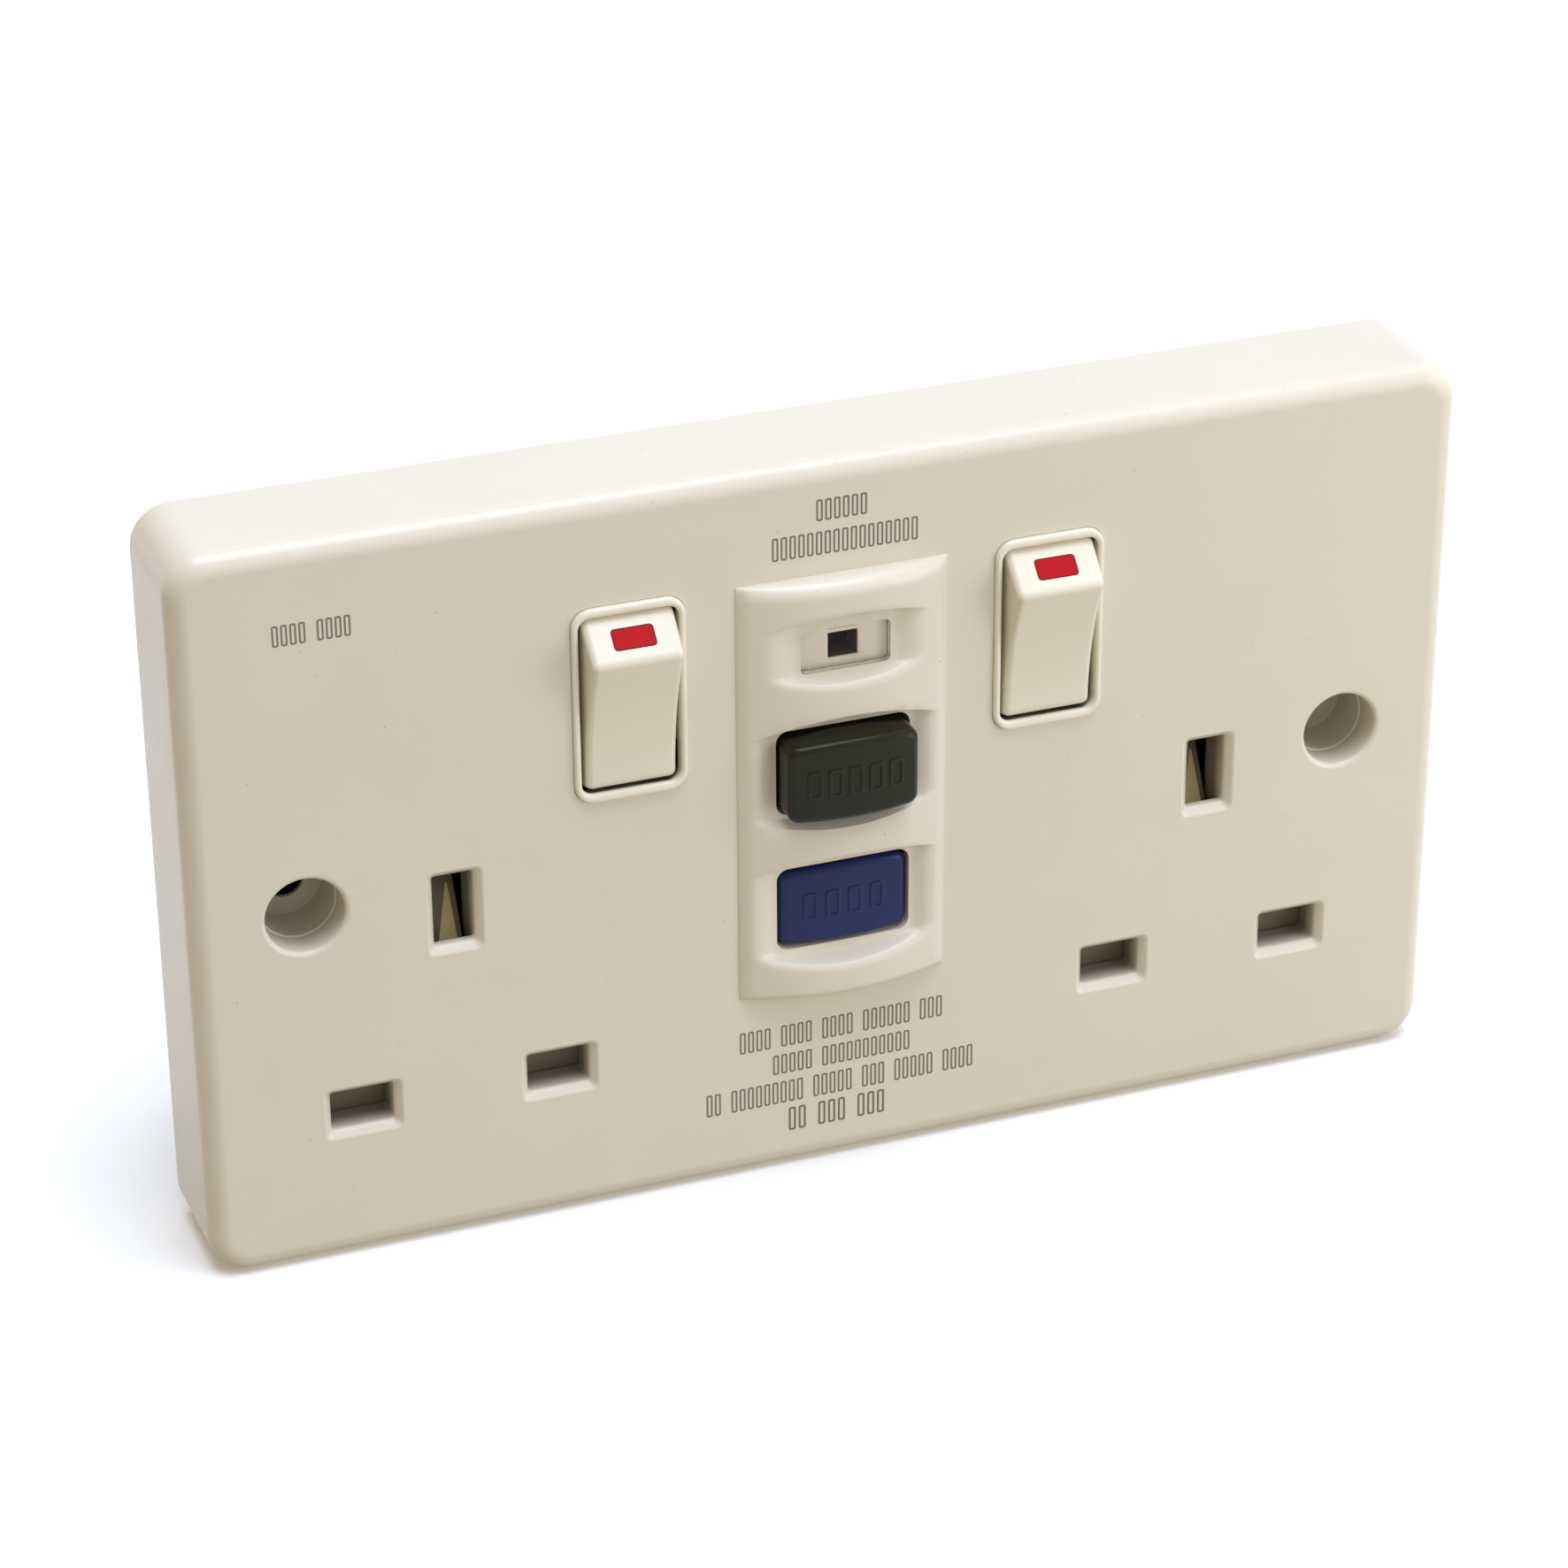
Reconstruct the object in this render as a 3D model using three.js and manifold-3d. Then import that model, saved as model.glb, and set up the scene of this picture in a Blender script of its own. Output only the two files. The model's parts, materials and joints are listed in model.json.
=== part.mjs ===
// Twin switched socket outlet with a built-in residual current device.
// Millimetres. +Z is up, -Y is the front, +X is to the viewer's right when facing the front.
// The origin is the centre of the plate's back rim, which lies on the wall plane y = 0.
// The front plate stands out of the wall and the rear housing goes back into the wall box.
import * as THREE from 'three';
import { mergeVertices } from 'three/addons/utils/BufferGeometryUtils.js';
import Module from 'manifold-3d';

// ---- driving dimensions -------------------------------------------------------------------
const GAP = 0.3; // clearance between pieces that touch

const PLATE_W = 146; // overall width of a twin plate
const PLATE_H = 86; // overall height
const PLATE_D = 15; // front plane to wall plane
const PLATE_CORNER = 4.5;
const PLATE_EDGE = 2.5; // rounding between the front and the sides
const PLATE_WALL = 2.5;
const PLATE_FRONT = 3; // thickness of the front
const FRONT_Y = -PLATE_D;
const INNER_Y = FRONT_Y + PLATE_FRONT;

const FIXING_X = 60.3; // half the 120.6 mm fixing centres
const WELL_R = 4.3; // counterbore over the screw head
const WELL_DEEP = 9;
const SCREW_HOLE_R = 2.2;
const COLUMN_R = 6.5;

const SOCKET_X = 44;
const PIN_SPACING = 22.23; // live to neutral, and earth to the live and neutral line
const LN_Z = -24.83;
const EARTH_Z = LN_Z + PIN_SPACING;
const LN_HOLE = { w: 7.0, h: 4.5 };
const EARTH_HOLE = { w: 4.5, h: 8.3 };
const COLLAR_Y = -10.6; // back end of the collars round the live and neutral holes
// behind the earth hole, for the shutter's ramp
const CHANNEL = { front: -13.4, back: -9.5, bottom: -14.9 };

const CROWN_HALF = 12.1; // raised panel round the two buttons
const CROWN_TOP = 30.0;
const CROWN_BOTTOM = -20.2;
const CROWN_RISE = 3.0;
const CROWN_SIDE = 0.46;
const CROWN_CORE_Y = -13.5; // the panel is cored out from behind to here
// finger pockets in the panel, with the height of their floors
const POCKETS = [
  { z: 22, w: 16, h: 6.4, rise: 0.85, floor: 1.2 }, // round the indicator window
  { z: 7.1, w: 20, h: 10.8, rise: 1.3, floor: 0.45 }, // round the reset button
  { z: -9.6, w: 20, h: 10.8, rise: 1.3, floor: 0.45 }, // round the test button
];

const RESET_Z = 7.2;
const TEST_Z = -9.65;
const BUTTON_W = 15;
const BUTTON_H = 9.6;
const RESET_OUT = 4.6; // how far the face stands out of the front plane
const TEST_OUT = 0.9;
const FLANGE_Y = CROWN_CORE_Y + GAP; // flange that keeps a button behind the plate
const FLANGE_T = 1.2;
const FLANGE_HALF = { w: 8.4, h: 5.8 };
const STEM_RESET = { r: 2.5, y: -4 }; // radius and back end
const STEM_TEST = { r: 2, y: -3 };

const WINDOW_Z = 21.6;
const WINDOW_W = 10.1;
const WINDOW_H = 4.8;
const LENS = { out: 1.5, thick: 1 }; // the window's face over the front plane, and its thickness
const INSERT = { w: 14, h: 8, back: -12 }; // flange of the pale insert behind the window
const APERTURE = { w: 3.4, h: 2.9, deep: 6 }; // the flag is seen through it

const SWITCH_X = 24;
const SWITCH_Z = 19;
const FRAME_W = 12.7;
const FRAME_H = 22.8;
const FRAME_CORNER = 2.2;
const FRAME_UP = 0.7; // height of the switch frame over the front plane
const FRAME_OPENING = { w: 11.1, h: 21.3, r: 1.2 };
const ROCKER_W = 10.3;
const ROCKER_PIVOT_Y = FRONT_Y + 5.53;
const ROCKER_TILT = 12.75; // degrees each side of the middle
const RIDGE = { up: 8.15, out: 7.93 }; // from the pivot, in the middle position
const DISH = 0.95; // depth of the face between the ridges
const SKIRT_R = 11.45; // radius of the rocker's ends about the pivot
const BORE_R = 1.6; // guides the plunger
const BLADE_TILT = 8; // degrees each side of the middle
const BLADE_PIVOT_Y = 1.9;

const HOUSING_RIM_Y = -5.5;
const HOUSING_FLANGE_Y = -3.5; // back of the flange that is screwed to the plate
const HOUSING_BACK_Y = 24;
const HOUSING_WALL = 2;
const HOUSING_HALF_W = 63;
const HOUSING_HALF_H = 33;
const HOUSING_BEVEL = { y: 3.5, z: 2 }; // along the back's top and bottom edges
const NOTCH_X = 52.5; // the housing steps in here to pass the fixing lugs
const NOTCH_Z = 9.5;

const GUIDE = { x: 8.8, z: 13.5, r: 1.5 }; // two rods that the contact carriage slides on
const CONTACT_X = 4; // live contacts at +X, neutral contacts at -X
const SUPPLY_Z = 14;
const LOAD_Z = 1;
const PAD_Y = 3.6;
const STRIP_T = 0.8;
const LIVE_Y = 9.8; // front face of the live load strips
const SUPPLY_Y = 9.4; // front face of the supply strips, just ahead of the terminals
const EARTH_Y = 11.4; // front face of the earth strap
const NEUTRAL_Y = 13.0; // front face of the neutral load strips
const BOARD_Y = 15.4;
const BOARD_T = 1.6;
const TOROID = { inner: 6.4, outer: 10.2 };

const TERMINAL_Z = 25;
const TERMINAL_SIZE = { x: 8, y: 9, z: 9 };
const TERMINAL_WALL_X = 45; // partition beside the outer terminals
const TERMINAL_Y = 15; // centre of the terminal blocks
const COIL = { x: -7, y: 9.5, z: -24 };
const LATCH = { x: 13.4, z: -12 };

// ---- solids -------------------------------------------------------------------------------
const wasm = await Module();
wasm.setup();

/** A three.js geometry as a manifold solid. */
function solid(geometry) {
  const bare = geometry.clone();
  bare.deleteAttribute('normal');
  bare.deleteAttribute('uv');
  const merged = mergeVertices(bare, 1e-4);
  return new wasm.Manifold(
    new wasm.Mesh({
      numProp: 3,
      vertProperties: new Float32Array(merged.attributes.position.array),
      triVerts: new Uint32Array(merged.index.array),
    }),
  );
}

const asSolid = (piece) => (piece.isBufferGeometry ? solid(piece) : piece);
const join = (first, ...others) => others.reduce((sum, o) => sum.add(asSolid(o)), asSolid(first));
const cut = (first, ...others) => others.reduce((rest, o) => rest.subtract(asSolid(o)), asSolid(first));

const outlet = new THREE.Group();
outlet.name = 'twin_rcd_socket_outlet';

/** Adds one named piece. */
function add(name, piece, finish) {
  const shape = asSolid(piece).getMesh();
  const geometry = new THREE.BufferGeometry();
  geometry.setAttribute('position', new THREE.BufferAttribute(shape.vertProperties, 3));
  geometry.setIndex(new THREE.BufferAttribute(shape.triVerts, 1));
  geometry.computeVertexNormals();
  const mesh = new THREE.Mesh(geometry, new THREE.MeshStandardMaterial(finish));
  mesh.name = name;
  outlet.add(mesh);
}

/** A box from its centre and size. */
function box(x, y, z, w, d, h) {
  return new THREE.BoxGeometry(w, d, h).translate(x, y, z);
}

/** A box from its limits along each axis. */
function block([x0, x1], [y0, y1], [z0, z1]) {
  return box((x0 + x1) / 2, (y0 + y1) / 2, (z0 + z1) / 2, x1 - x0, y1 - y0, z1 - z0);
}

/** The limits either side of a middle value. */
const span = (middle, half) => [middle - half, middle + half];

/** A cylinder along Y. */
function rodY(x, z, radius, y0, y1, sides = 20) {
  return new THREE.CylinderGeometry(radius, radius, y1 - y0, sides).translate(x, (y0 + y1) / 2, z);
}

/** A cylinder along X. */
function rodX(y, z, radius, x0, x1, sides = 20) {
  const rod = new THREE.CylinderGeometry(radius, radius, x1 - x0, sides).rotateZ(Math.PI / 2);
  return rod.translate((x0 + x1) / 2, y, z);
}

/** An outline in X and Z, extruded along Y. */
function slab(shape, yFront, yBack, options = {}) {
  const settings = { depth: yBack - yFront, bevelEnabled: false, curveSegments: 4, ...options };
  return new THREE.ExtrudeGeometry(shape, settings).rotateX(Math.PI / 2).translate(0, yBack, 0);
}

const fromPoints = (points) => new THREE.Shape(points.map(([a, b]) => new THREE.Vector2(a, b)));

/** A polygon of [y, z] points, extruded along X. */
function profileX(points, x0, x1) {
  const axes = new THREE.Matrix4().makeBasis(
    new THREE.Vector3(0, 1, 0),
    new THREE.Vector3(0, 0, 1),
    new THREE.Vector3(1, 0, 0),
  );
  const made = new THREE.ExtrudeGeometry(fromPoints(points), { depth: x1 - x0, bevelEnabled: false });
  return made.applyMatrix4(axes).translate(x0, 0, 0);
}

/** A polygon of [x, y] points, extruded along Z. */
function profileZ(points, z0, z1) {
  const made = new THREE.ExtrudeGeometry(fromPoints(points), { depth: z1 - z0, bevelEnabled: false });
  return made.translate(0, 0, z0);
}

/** A rectangle with rounded corners, centred on (x, z). */
function roundedRect(x, z, w, h, r) {
  const shape = new THREE.Shape();
  const [left, right, bottom, top] = [x - w / 2, x + w / 2, z - h / 2, z + h / 2];
  shape.moveTo(left + r, bottom);
  shape.lineTo(right - r, bottom);
  shape.absarc(right - r, bottom + r, r, -Math.PI / 2, 0);
  shape.lineTo(right, top - r);
  shape.absarc(right - r, top - r, r, 0, Math.PI / 2);
  shape.lineTo(left + r, top);
  shape.absarc(left + r, top - r, r, Math.PI / 2, Math.PI);
  shape.lineTo(left, bottom + r);
  shape.absarc(left + r, bottom + r, r, Math.PI, Math.PI * 1.5);
  return shape;
}

/** A rectangle whose top and bottom edges bow outward by rise, centred on (x, z). */
function barrel(x, z, w, h, rise) {
  const shape = new THREE.Shape();
  shape.moveTo(x - w / 2, z - h / 2);
  shape.quadraticCurveTo(x, z - h / 2 - 2 * rise, x + w / 2, z - h / 2);
  shape.lineTo(x + w / 2, z + h / 2);
  shape.quadraticCurveTo(x, z + h / 2 + 2 * rise, x - w / 2, z + h / 2);
  return shape;
}

/** The centre line of a coil spring along Z, from 0 to length. */
class Helix extends THREE.Curve {
  constructor(radius, length, turns) {
    super();
    Object.assign(this, { radius, length, turns });
  }

  getPoint(t, target = new THREE.Vector3()) {
    const angle = t * this.turns * Math.PI * 2;
    return target.set(Math.cos(angle) * this.radius, Math.sin(angle) * this.radius, t * this.length);
  }
}

/** A coil spring along Z, standing on the origin. */
function spring(radius, wire, length, turns) {
  const section = new THREE.Shape();
  for (let corner = 0; corner < 4; corner += 1) {
    const angle = (corner / 4) * Math.PI * 2;
    const point = [(Math.cos(angle) * wire) / 2, (Math.sin(angle) * wire) / 2];
    section[corner ? 'lineTo' : 'moveTo'](...point);
  }
  const coil = new THREE.ExtrudeGeometry(section, {
    steps: Math.round(turns * 7),
    extrudePath: new Helix(radius, length - wire, turns),
  });
  return coil.translate(0, 0, wire / 2);
}

/** The same spring lying along Y, from yFront inward. */
function springY(x, z, yFront, ...sizes) {
  return spring(...sizes).rotateX(-Math.PI / 2).translate(x, yFront, z);
}

/** Turns a geometry about an X axis through (y, z), by degrees. */
function turned(geometry, y, z, degrees) {
  return geometry.translate(0, -y, -z).rotateX(THREE.MathUtils.degToRad(degrees)).translate(0, y, z);
}

// ---- finishes -----------------------------------------------------------------------------
const WHITE = { color: 0xdad2c4, roughness: 0.28, metalness: 0 };
const CREAM = { color: 0xe9e3d6, roughness: 0.25, metalness: 0 };
const GREY = { color: 0xb9bab8, roughness: 0.55, metalness: 0 };
const DARK = { color: 0x23241f, roughness: 0.45, metalness: 0 };
const TAN = { color: 0xa8976a, roughness: 0.5, metalness: 0 };
const GREEN = { color: 0x30322a, roughness: 0.35, metalness: 0 };
const BLUE = { color: 0x2d3966, roughness: 0.35, metalness: 0 };
const CLEAR = { color: 0xdfe4e4, roughness: 0.08, metalness: 0, transparent: true, opacity: 0.35 };
const BRASS = { color: 0xb59a58, roughness: 0.32, metalness: 1 };
const COPPER = { color: 0xb06a42, roughness: 0.35, metalness: 1 };
const STEEL = { color: 0xa9acb0, roughness: 0.35, metalness: 1 };
const BOARD = { color: 0x2f6b3c, roughness: 0.5, metalness: 0 };
const CORE = { color: 0x4a4f58, roughness: 0.6, metalness: 0 };

const SIDES = [
  { side: 'left', sign: -1 },
  { side: 'right', sign: 1 },
];
const CORNERS = [
  { x: -66, z: -35 },
  { x: 66, z: -35 },
  { x: 66, z: 35 },
  { x: -66, z: 35 },
];

// ---- front plate --------------------------------------------------------------------------
/** The raised panel's section across the plate, an arc over a flat back. */
function crownSection() {
  const steps = 12;
  const fall = (CROWN_RISE - CROWN_SIDE) / CROWN_HALF ** 2;
  const arc = [];
  for (let i = 0; i <= steps; i += 1) {
    const x = -CROWN_HALF + (2 * CROWN_HALF * i) / steps;
    arc.push([x, FRONT_Y - CROWN_RISE + fall * x * x]);
  }
  return [...arc, [CROWN_HALF, INNER_Y - 1], [-CROWN_HALF, INNER_Y - 1]];
}

/** The earth hole with a channel behind it that is open at its lower end. */
function earthHole(plate, x) {
  const { w, h } = EARTH_HOLE;
  const top = EARTH_Z + h / 2;
  const { front, back, bottom } = CHANNEL;
  const walled = join(plate, block(span(x, w / 2 + 1.5), [INNER_Y - 1, back], [bottom, top + 1.5]));
  return cut(
    walled,
    box(x, INNER_Y, EARTH_Z, w, 10, h),
    block(span(x, w / 2), [front, back + 1], [bottom - 1, top]),
  );
}

function frontPlate() {
  const [edgedW, edgedH] = [PLATE_W - 2 * PLATE_EDGE, PLATE_H - 2 * PLATE_EDGE];
  const edged = roundedRect(0, 0, edgedW, edgedH, PLATE_CORNER - PLATE_EDGE);
  const rounding = {
    bevelEnabled: true,
    bevelThickness: PLATE_EDGE,
    bevelSize: PLATE_EDGE,
    bevelSegments: 3,
  };
  const outer = slab(edged, FRONT_Y + PLATE_EDGE, PLATE_EDGE + 1, rounding);
  const [insideW, insideH] = [PLATE_W - 2 * PLATE_WALL, PLATE_H - 2 * PLATE_WALL];
  const inside = roundedRect(0, 0, insideW, insideH, PLATE_CORNER - PLATE_WALL + 0.5);
  let plate = cut(outer, box(0, 10, 0, PLATE_W + 10, 20, PLATE_H + 10), slab(inside, INNER_Y, 10));
  plate = join(plate, profileZ(crownSection(), CROWN_BOTTOM, CROWN_TOP));
  plate = cut(plate, block([-10.2, 10.2], [CROWN_CORE_Y, INNER_Y + 1], [CROWN_BOTTOM + 2, CROWN_TOP - 2]));

  const pocketTo = FRONT_Y - CROWN_RISE - 1;
  for (const { z, w, h, rise, floor } of POCKETS) {
    plate = cut(plate, slab(barrel(0, z, w, h, rise), pocketTo, FRONT_Y - floor));
  }
  for (const z of [RESET_Z, TEST_Z]) {
    const hole = roundedRect(0, z, BUTTON_W + 2 * GAP, BUTTON_H + 2 * GAP, 1.2);
    plate = cut(plate, slab(hole, pocketTo, INNER_Y + 1));
  }
  const window = roundedRect(0, WINDOW_Z, WINDOW_W + 2 * GAP, WINDOW_H + 2 * GAP, 0.8);
  plate = cut(plate, slab(window, pocketTo, INNER_Y + 1));

  for (const { sign } of SIDES) {
    const socketX = sign * SOCKET_X;
    const column = rodY(sign * FIXING_X, 0, COLUMN_R, INNER_Y - 1, -GAP, 24);
    const well = rodY(sign * FIXING_X, 0, WELL_R, FRONT_Y - 1, FRONT_Y + WELL_DEEP, 24);
    const screwHole = rodY(sign * FIXING_X, 0, SCREW_HOLE_R, FRONT_Y, 1, 16);
    const [holeW, holeH] = [FRAME_W + 2 * GAP, FRAME_H + 2 * GAP];
    const frameHole = roundedRect(sign * SWITCH_X, SWITCH_Z, holeW, holeH, FRAME_CORNER);
    plate = join(plate, column);
    plate = cut(plate, well, screwHole, slab(frameHole, FRONT_Y - 1, INNER_Y + 1));

    for (const offset of [-PIN_SPACING / 2, PIN_SPACING / 2]) {
      const { w, h } = LN_HOLE;
      const x = socketX + offset;
      plate = join(plate, block(span(x, w / 2 + 1.5), [INNER_Y - 1, COLLAR_Y], span(LN_Z, h / 2 + 1.5)));
      plate = cut(plate, box(x, INNER_Y, LN_Z, w, 10, h));
    }
    plate = earthHole(plate, socketX);
    // two ribs guide the shutter, and a seat carries its spring
    for (const rib of [-1, 1]) {
      plate = join(plate, box(socketX + rib * 16.4, -9.8, -28, 1.2, 4.6, 14));
    }
    plate = join(plate, block([socketX - 4, socketX + 4], [INNER_Y - 1, -6.9], [-41, -37.6]));
  }
  for (const { x, z } of CORNERS) {
    plate = join(plate, rodY(x, z, 3.4, INNER_Y - 1, HOUSING_RIM_Y - GAP, 16));
    plate = cut(plate, rodY(x, z, 1.3, INNER_Y + 1, 0, 10));
  }
  return plate;
}
add('front_plate', frontPlate(), WHITE);

// ---- rear housing -------------------------------------------------------------------------
/** Half of the housing's outline, mirrored to the other side, drawn in by inset. */
function housingOutline(inset) {
  const [w, h] = [HOUSING_HALF_W - inset, HOUSING_HALF_H - inset];
  const [notch, z] = [NOTCH_X - inset, NOTCH_Z + inset];
  const half = [
    [w, -h],
    [w, -z],
    [notch, -z],
    [notch, z],
    [w, z],
    [w, h],
  ];
  const mirrored = half.map(([x, up]) => [-x, -up]);
  return fromPoints([...half, ...mirrored]);
}

/** The housing's solid body, without its flange, drawn in by inset from all its outer faces. */
function housingBody(inset, front) {
  const [back, top] = [HOUSING_BACK_Y - inset, HOUSING_HALF_H - inset];
  const { y: run, z: rise } = HOUSING_BEVEL;
  const shrink = 1 - (inset * (run + rise - Math.hypot(run, rise))) / (run * rise);
  const [bevelY, bevelZ] = [run * shrink, rise * shrink];
  const side = [
    [front - 1, -top],
    [back - bevelY, -top],
    [back, bevelZ - top],
    [back, top - bevelZ],
    [back - bevelY, top],
    [front - 1, top],
  ];
  const profile = solid(profileX(side, -HOUSING_HALF_W - 1, HOUSING_HALF_W + 1));
  return profile.intersect(solid(slab(housingOutline(inset), front, back)));
}

const TERMINALS = [
  { name: 'live', x: 51 },
  { name: 'earth', x: 39 },
  { name: 'neutral', x: -51 },
];

function rearHousing() {
  const flange = slab(roundedRect(0, 0, 138, 78, 3), HOUSING_RIM_Y, HOUSING_FLANGE_Y);
  let housing = join(housingBody(0, HOUSING_RIM_Y), flange);
  housing = cut(housing, housingBody(HOUSING_WALL, HOUSING_RIM_Y - 1));
  const floor = HOUSING_BACK_Y - HOUSING_WALL - 1;
  for (const { sign } of SIDES) {
    const lug = block([NOTCH_X, 80], [-30, 40], [-NOTCH_Z, NOTCH_Z]);
    housing = cut(housing, sign > 0 ? lug : lug.rotateZ(Math.PI));
    housing = join(
      housing,
      rodY(sign * GUIDE.x, GUIDE.z, GUIDE.r, -2, floor + 2, 12),
      rodY(sign * 22, -4, 2, EARTH_Y + STRIP_T + GAP, floor + 2, 12),
      rodY(sign * 13, 9, 1.6, BOARD_Y + BOARD_T + GAP, floor + 2, 12),
      rodY(sign * 13, -28.5, 1.6, BOARD_Y + BOARD_T + GAP, floor + 2, 12),
      block(span(sign * TERMINAL_WALL_X, 0.8), [4, floor + 2], [9.5, 28.6]),
    );
  }
  for (const { x, z } of CORNERS) {
    housing = cut(housing, rodY(x, z, 1.9, -10, 0, 12));
  }
  for (const { x } of TERMINALS) {
    housing = cut(housing, rodY(x, TERMINAL_Z, 3.6, floor, 30, 16));
    housing = cut(housing, box(x, TERMINAL_Y - 1.2, HOUSING_HALF_H, 6, 6, 8));
  }
  return housing;
}
add('rear_housing', rearHousing(), GREY);

/** A pan-head screw along Y with its head at yHead, pointing to the front. */
function screw(x, z, yHead, { head, shank, length, thick }) {
  const slot = box(x, yHead + thick, z, head * 2.4, 0.9, 0.8);
  const thread = rodY(x, z, shank, yHead - length, yHead + 0.5, 12);
  return cut(join(rodY(x, z, head, yHead, yHead + thick, 16), thread), slot);
}

CORNERS.forEach(({ x, z }, index) => {
  const size = { head: 2.6, shank: 1.1, length: 6.4, thick: 1.5 };
  add(`housing_screw_${index + 1}`, screw(x, z, HOUSING_FLANGE_Y + GAP, size), STEEL);
});

// ---- terminals ----------------------------------------------------------------------------
for (const { name, x } of TERMINALS) {
  const { x: w, y: d, z: h } = TERMINAL_SIZE;
  const top = TERMINAL_Y + d / 2;
  let terminal = box(x, TERMINAL_Y, TERMINAL_Z, w, d, h);
  terminal = cut(terminal, box(x, TERMINAL_Y - 1.2, TERMINAL_Z, 5, 5, h + 2));
  terminal = cut(terminal, rodY(x, TERMINAL_Z, 2, TERMINAL_Y, top + 1, 14));
  add(`terminal_${name}`, terminal, BRASS);
  const size = { head: 3.1, shank: 1.7, length: 3.4, thick: 1.6 };
  add(`terminal_screw_${name}`, screw(x, TERMINAL_Z, top + GAP, size), STEEL);
}

// ---- switches -----------------------------------------------------------------------------
/** The rocker's side profile in its middle position: [inward, up] from the pivot. */
function rockerProfile() {
  const steps = 6;
  const face = [];
  for (let i = 0; i <= steps; i += 1) {
    const up = RIDGE.up - (RIDGE.up * 2 * i) / steps;
    face.push([-(RIDGE.out - DISH * (1 - (up / RIDGE.up) ** 2)), up]);
  }
  const end = [73, 82, 92, 101].map((degrees) => {
    const angle = THREE.MathUtils.degToRad(degrees);
    return [-SKIRT_R * Math.cos(angle), SKIRT_R * Math.sin(angle)];
  });
  const lower = end.map(([inward, up]) => [inward, -up]);
  return [...face, ...lower, ...end.reverse()];
}

for (const { side, sign } of SIDES) {
  const x = sign * SWITCH_X;
  const pivot = { y: ROCKER_PIVOT_Y, z: SWITCH_Z };

  const ringShape = roundedRect(x, SWITCH_Z, FRAME_W, FRAME_H, FRAME_CORNER);
  const { w: openingW, h: openingH, r: openingR } = FRAME_OPENING;
  const opening = roundedRect(x, SWITCH_Z, openingW, openingH, openingR);
  let frame = slab(ringShape, FRONT_Y - FRAME_UP, FRONT_Y + 1);
  for (const cheek of [-1, 1]) {
    frame = join(frame, box(x + cheek * 5.95, -10.4, SWITCH_Z, 0.8, 9, 12));
  }
  frame = cut(frame, slab(opening, -30, 0), rodX(pivot.y, pivot.z, 1.4, x - 8, x + 8, 14));
  add(`switch_frame_${side}`, frame, CREAM);

  const placed = rockerProfile().map(([inward, up]) => [pivot.y + inward, pivot.z + up]);
  let rocker = join(
    cut(
      profileX(placed, x - ROCKER_W / 2, x + ROCKER_W / 2),
      box(x, pivot.y - 0.5, pivot.z + 6.2, ROCKER_W - 2.4, 10, 6.4),
      box(x, pivot.y - 0.5, pivot.z - 6.2, ROCKER_W - 2.4, 10, 6.4),
    ),
    rodX(pivot.y, pivot.z, 1.1, x - 6.3, x + 6.3, 12),
    rodY(x, pivot.z, 2.4, pivot.y, pivot.y + 4.6, 14),
  );
  rocker = cut(rocker, rodY(x, pivot.z, BORE_R, pivot.y - 3.5, pivot.y + 9, 12));
  const turnPiece = (piece) => {
    const moved = piece.translate([0, -pivot.y, -pivot.z]);
    return moved.rotate([ROCKER_TILT, 0, 0]).translate([0, pivot.y, pivot.z]);
  };
  add(`rocker_${side}`, turnPiece(rocker), CREAM);

  const tipY = pivot.y + 9.4;
  const plunger = join(
    rodY(x, pivot.z, 1.3, pivot.y + 1.8, tipY - 1, 12),
    new THREE.SphereGeometry(1.3, 12, 8).translate(x, tipY - 1.3, pivot.z),
  );
  add(`rocker_plunger_${side}`, turnPiece(plunger), DARK);
  const coilSizes = [1.0, 0.35, 4.6, 5];
  add(`rocker_spring_${side}`, turnPiece(solid(springY(x, pivot.z, pivot.y - 3.2, ...coilSizes))), STEEL);

  // a see-saw blade rocks on the live post and makes the contact at its upper end
  const bladeParts = [
    box(x, BLADE_PIVOT_Y - 1, SWITCH_Z, 4.4, 0.9, 16),
    rodY(x, SWITCH_Z + 6.5, 1.5, BLADE_PIVOT_Y - 0.8, BLADE_PIVOT_Y + 0.5, 12),
  ];
  const blade = join(...bladeParts.map((p) => turned(p, BLADE_PIVOT_Y, SWITCH_Z, -BLADE_TILT)));
  add(`switch_blade_${side}`, blade, COPPER);
}

// ---- current path -------------------------------------------------------------------------
/** A straight strip in the plane whose front face is y. */
const strip = (y, [x0, x1], [z0, z1]) => block([x0, x1], [y, y + STRIP_T], [z0, z1]);
/** A contact post from the plane y forward to yTip. */
const post = (x, z, yTip, y, radius = 1.7) => rodY(x, z, radius, yTip, y + STRIP_T / 2, 12);

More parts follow.
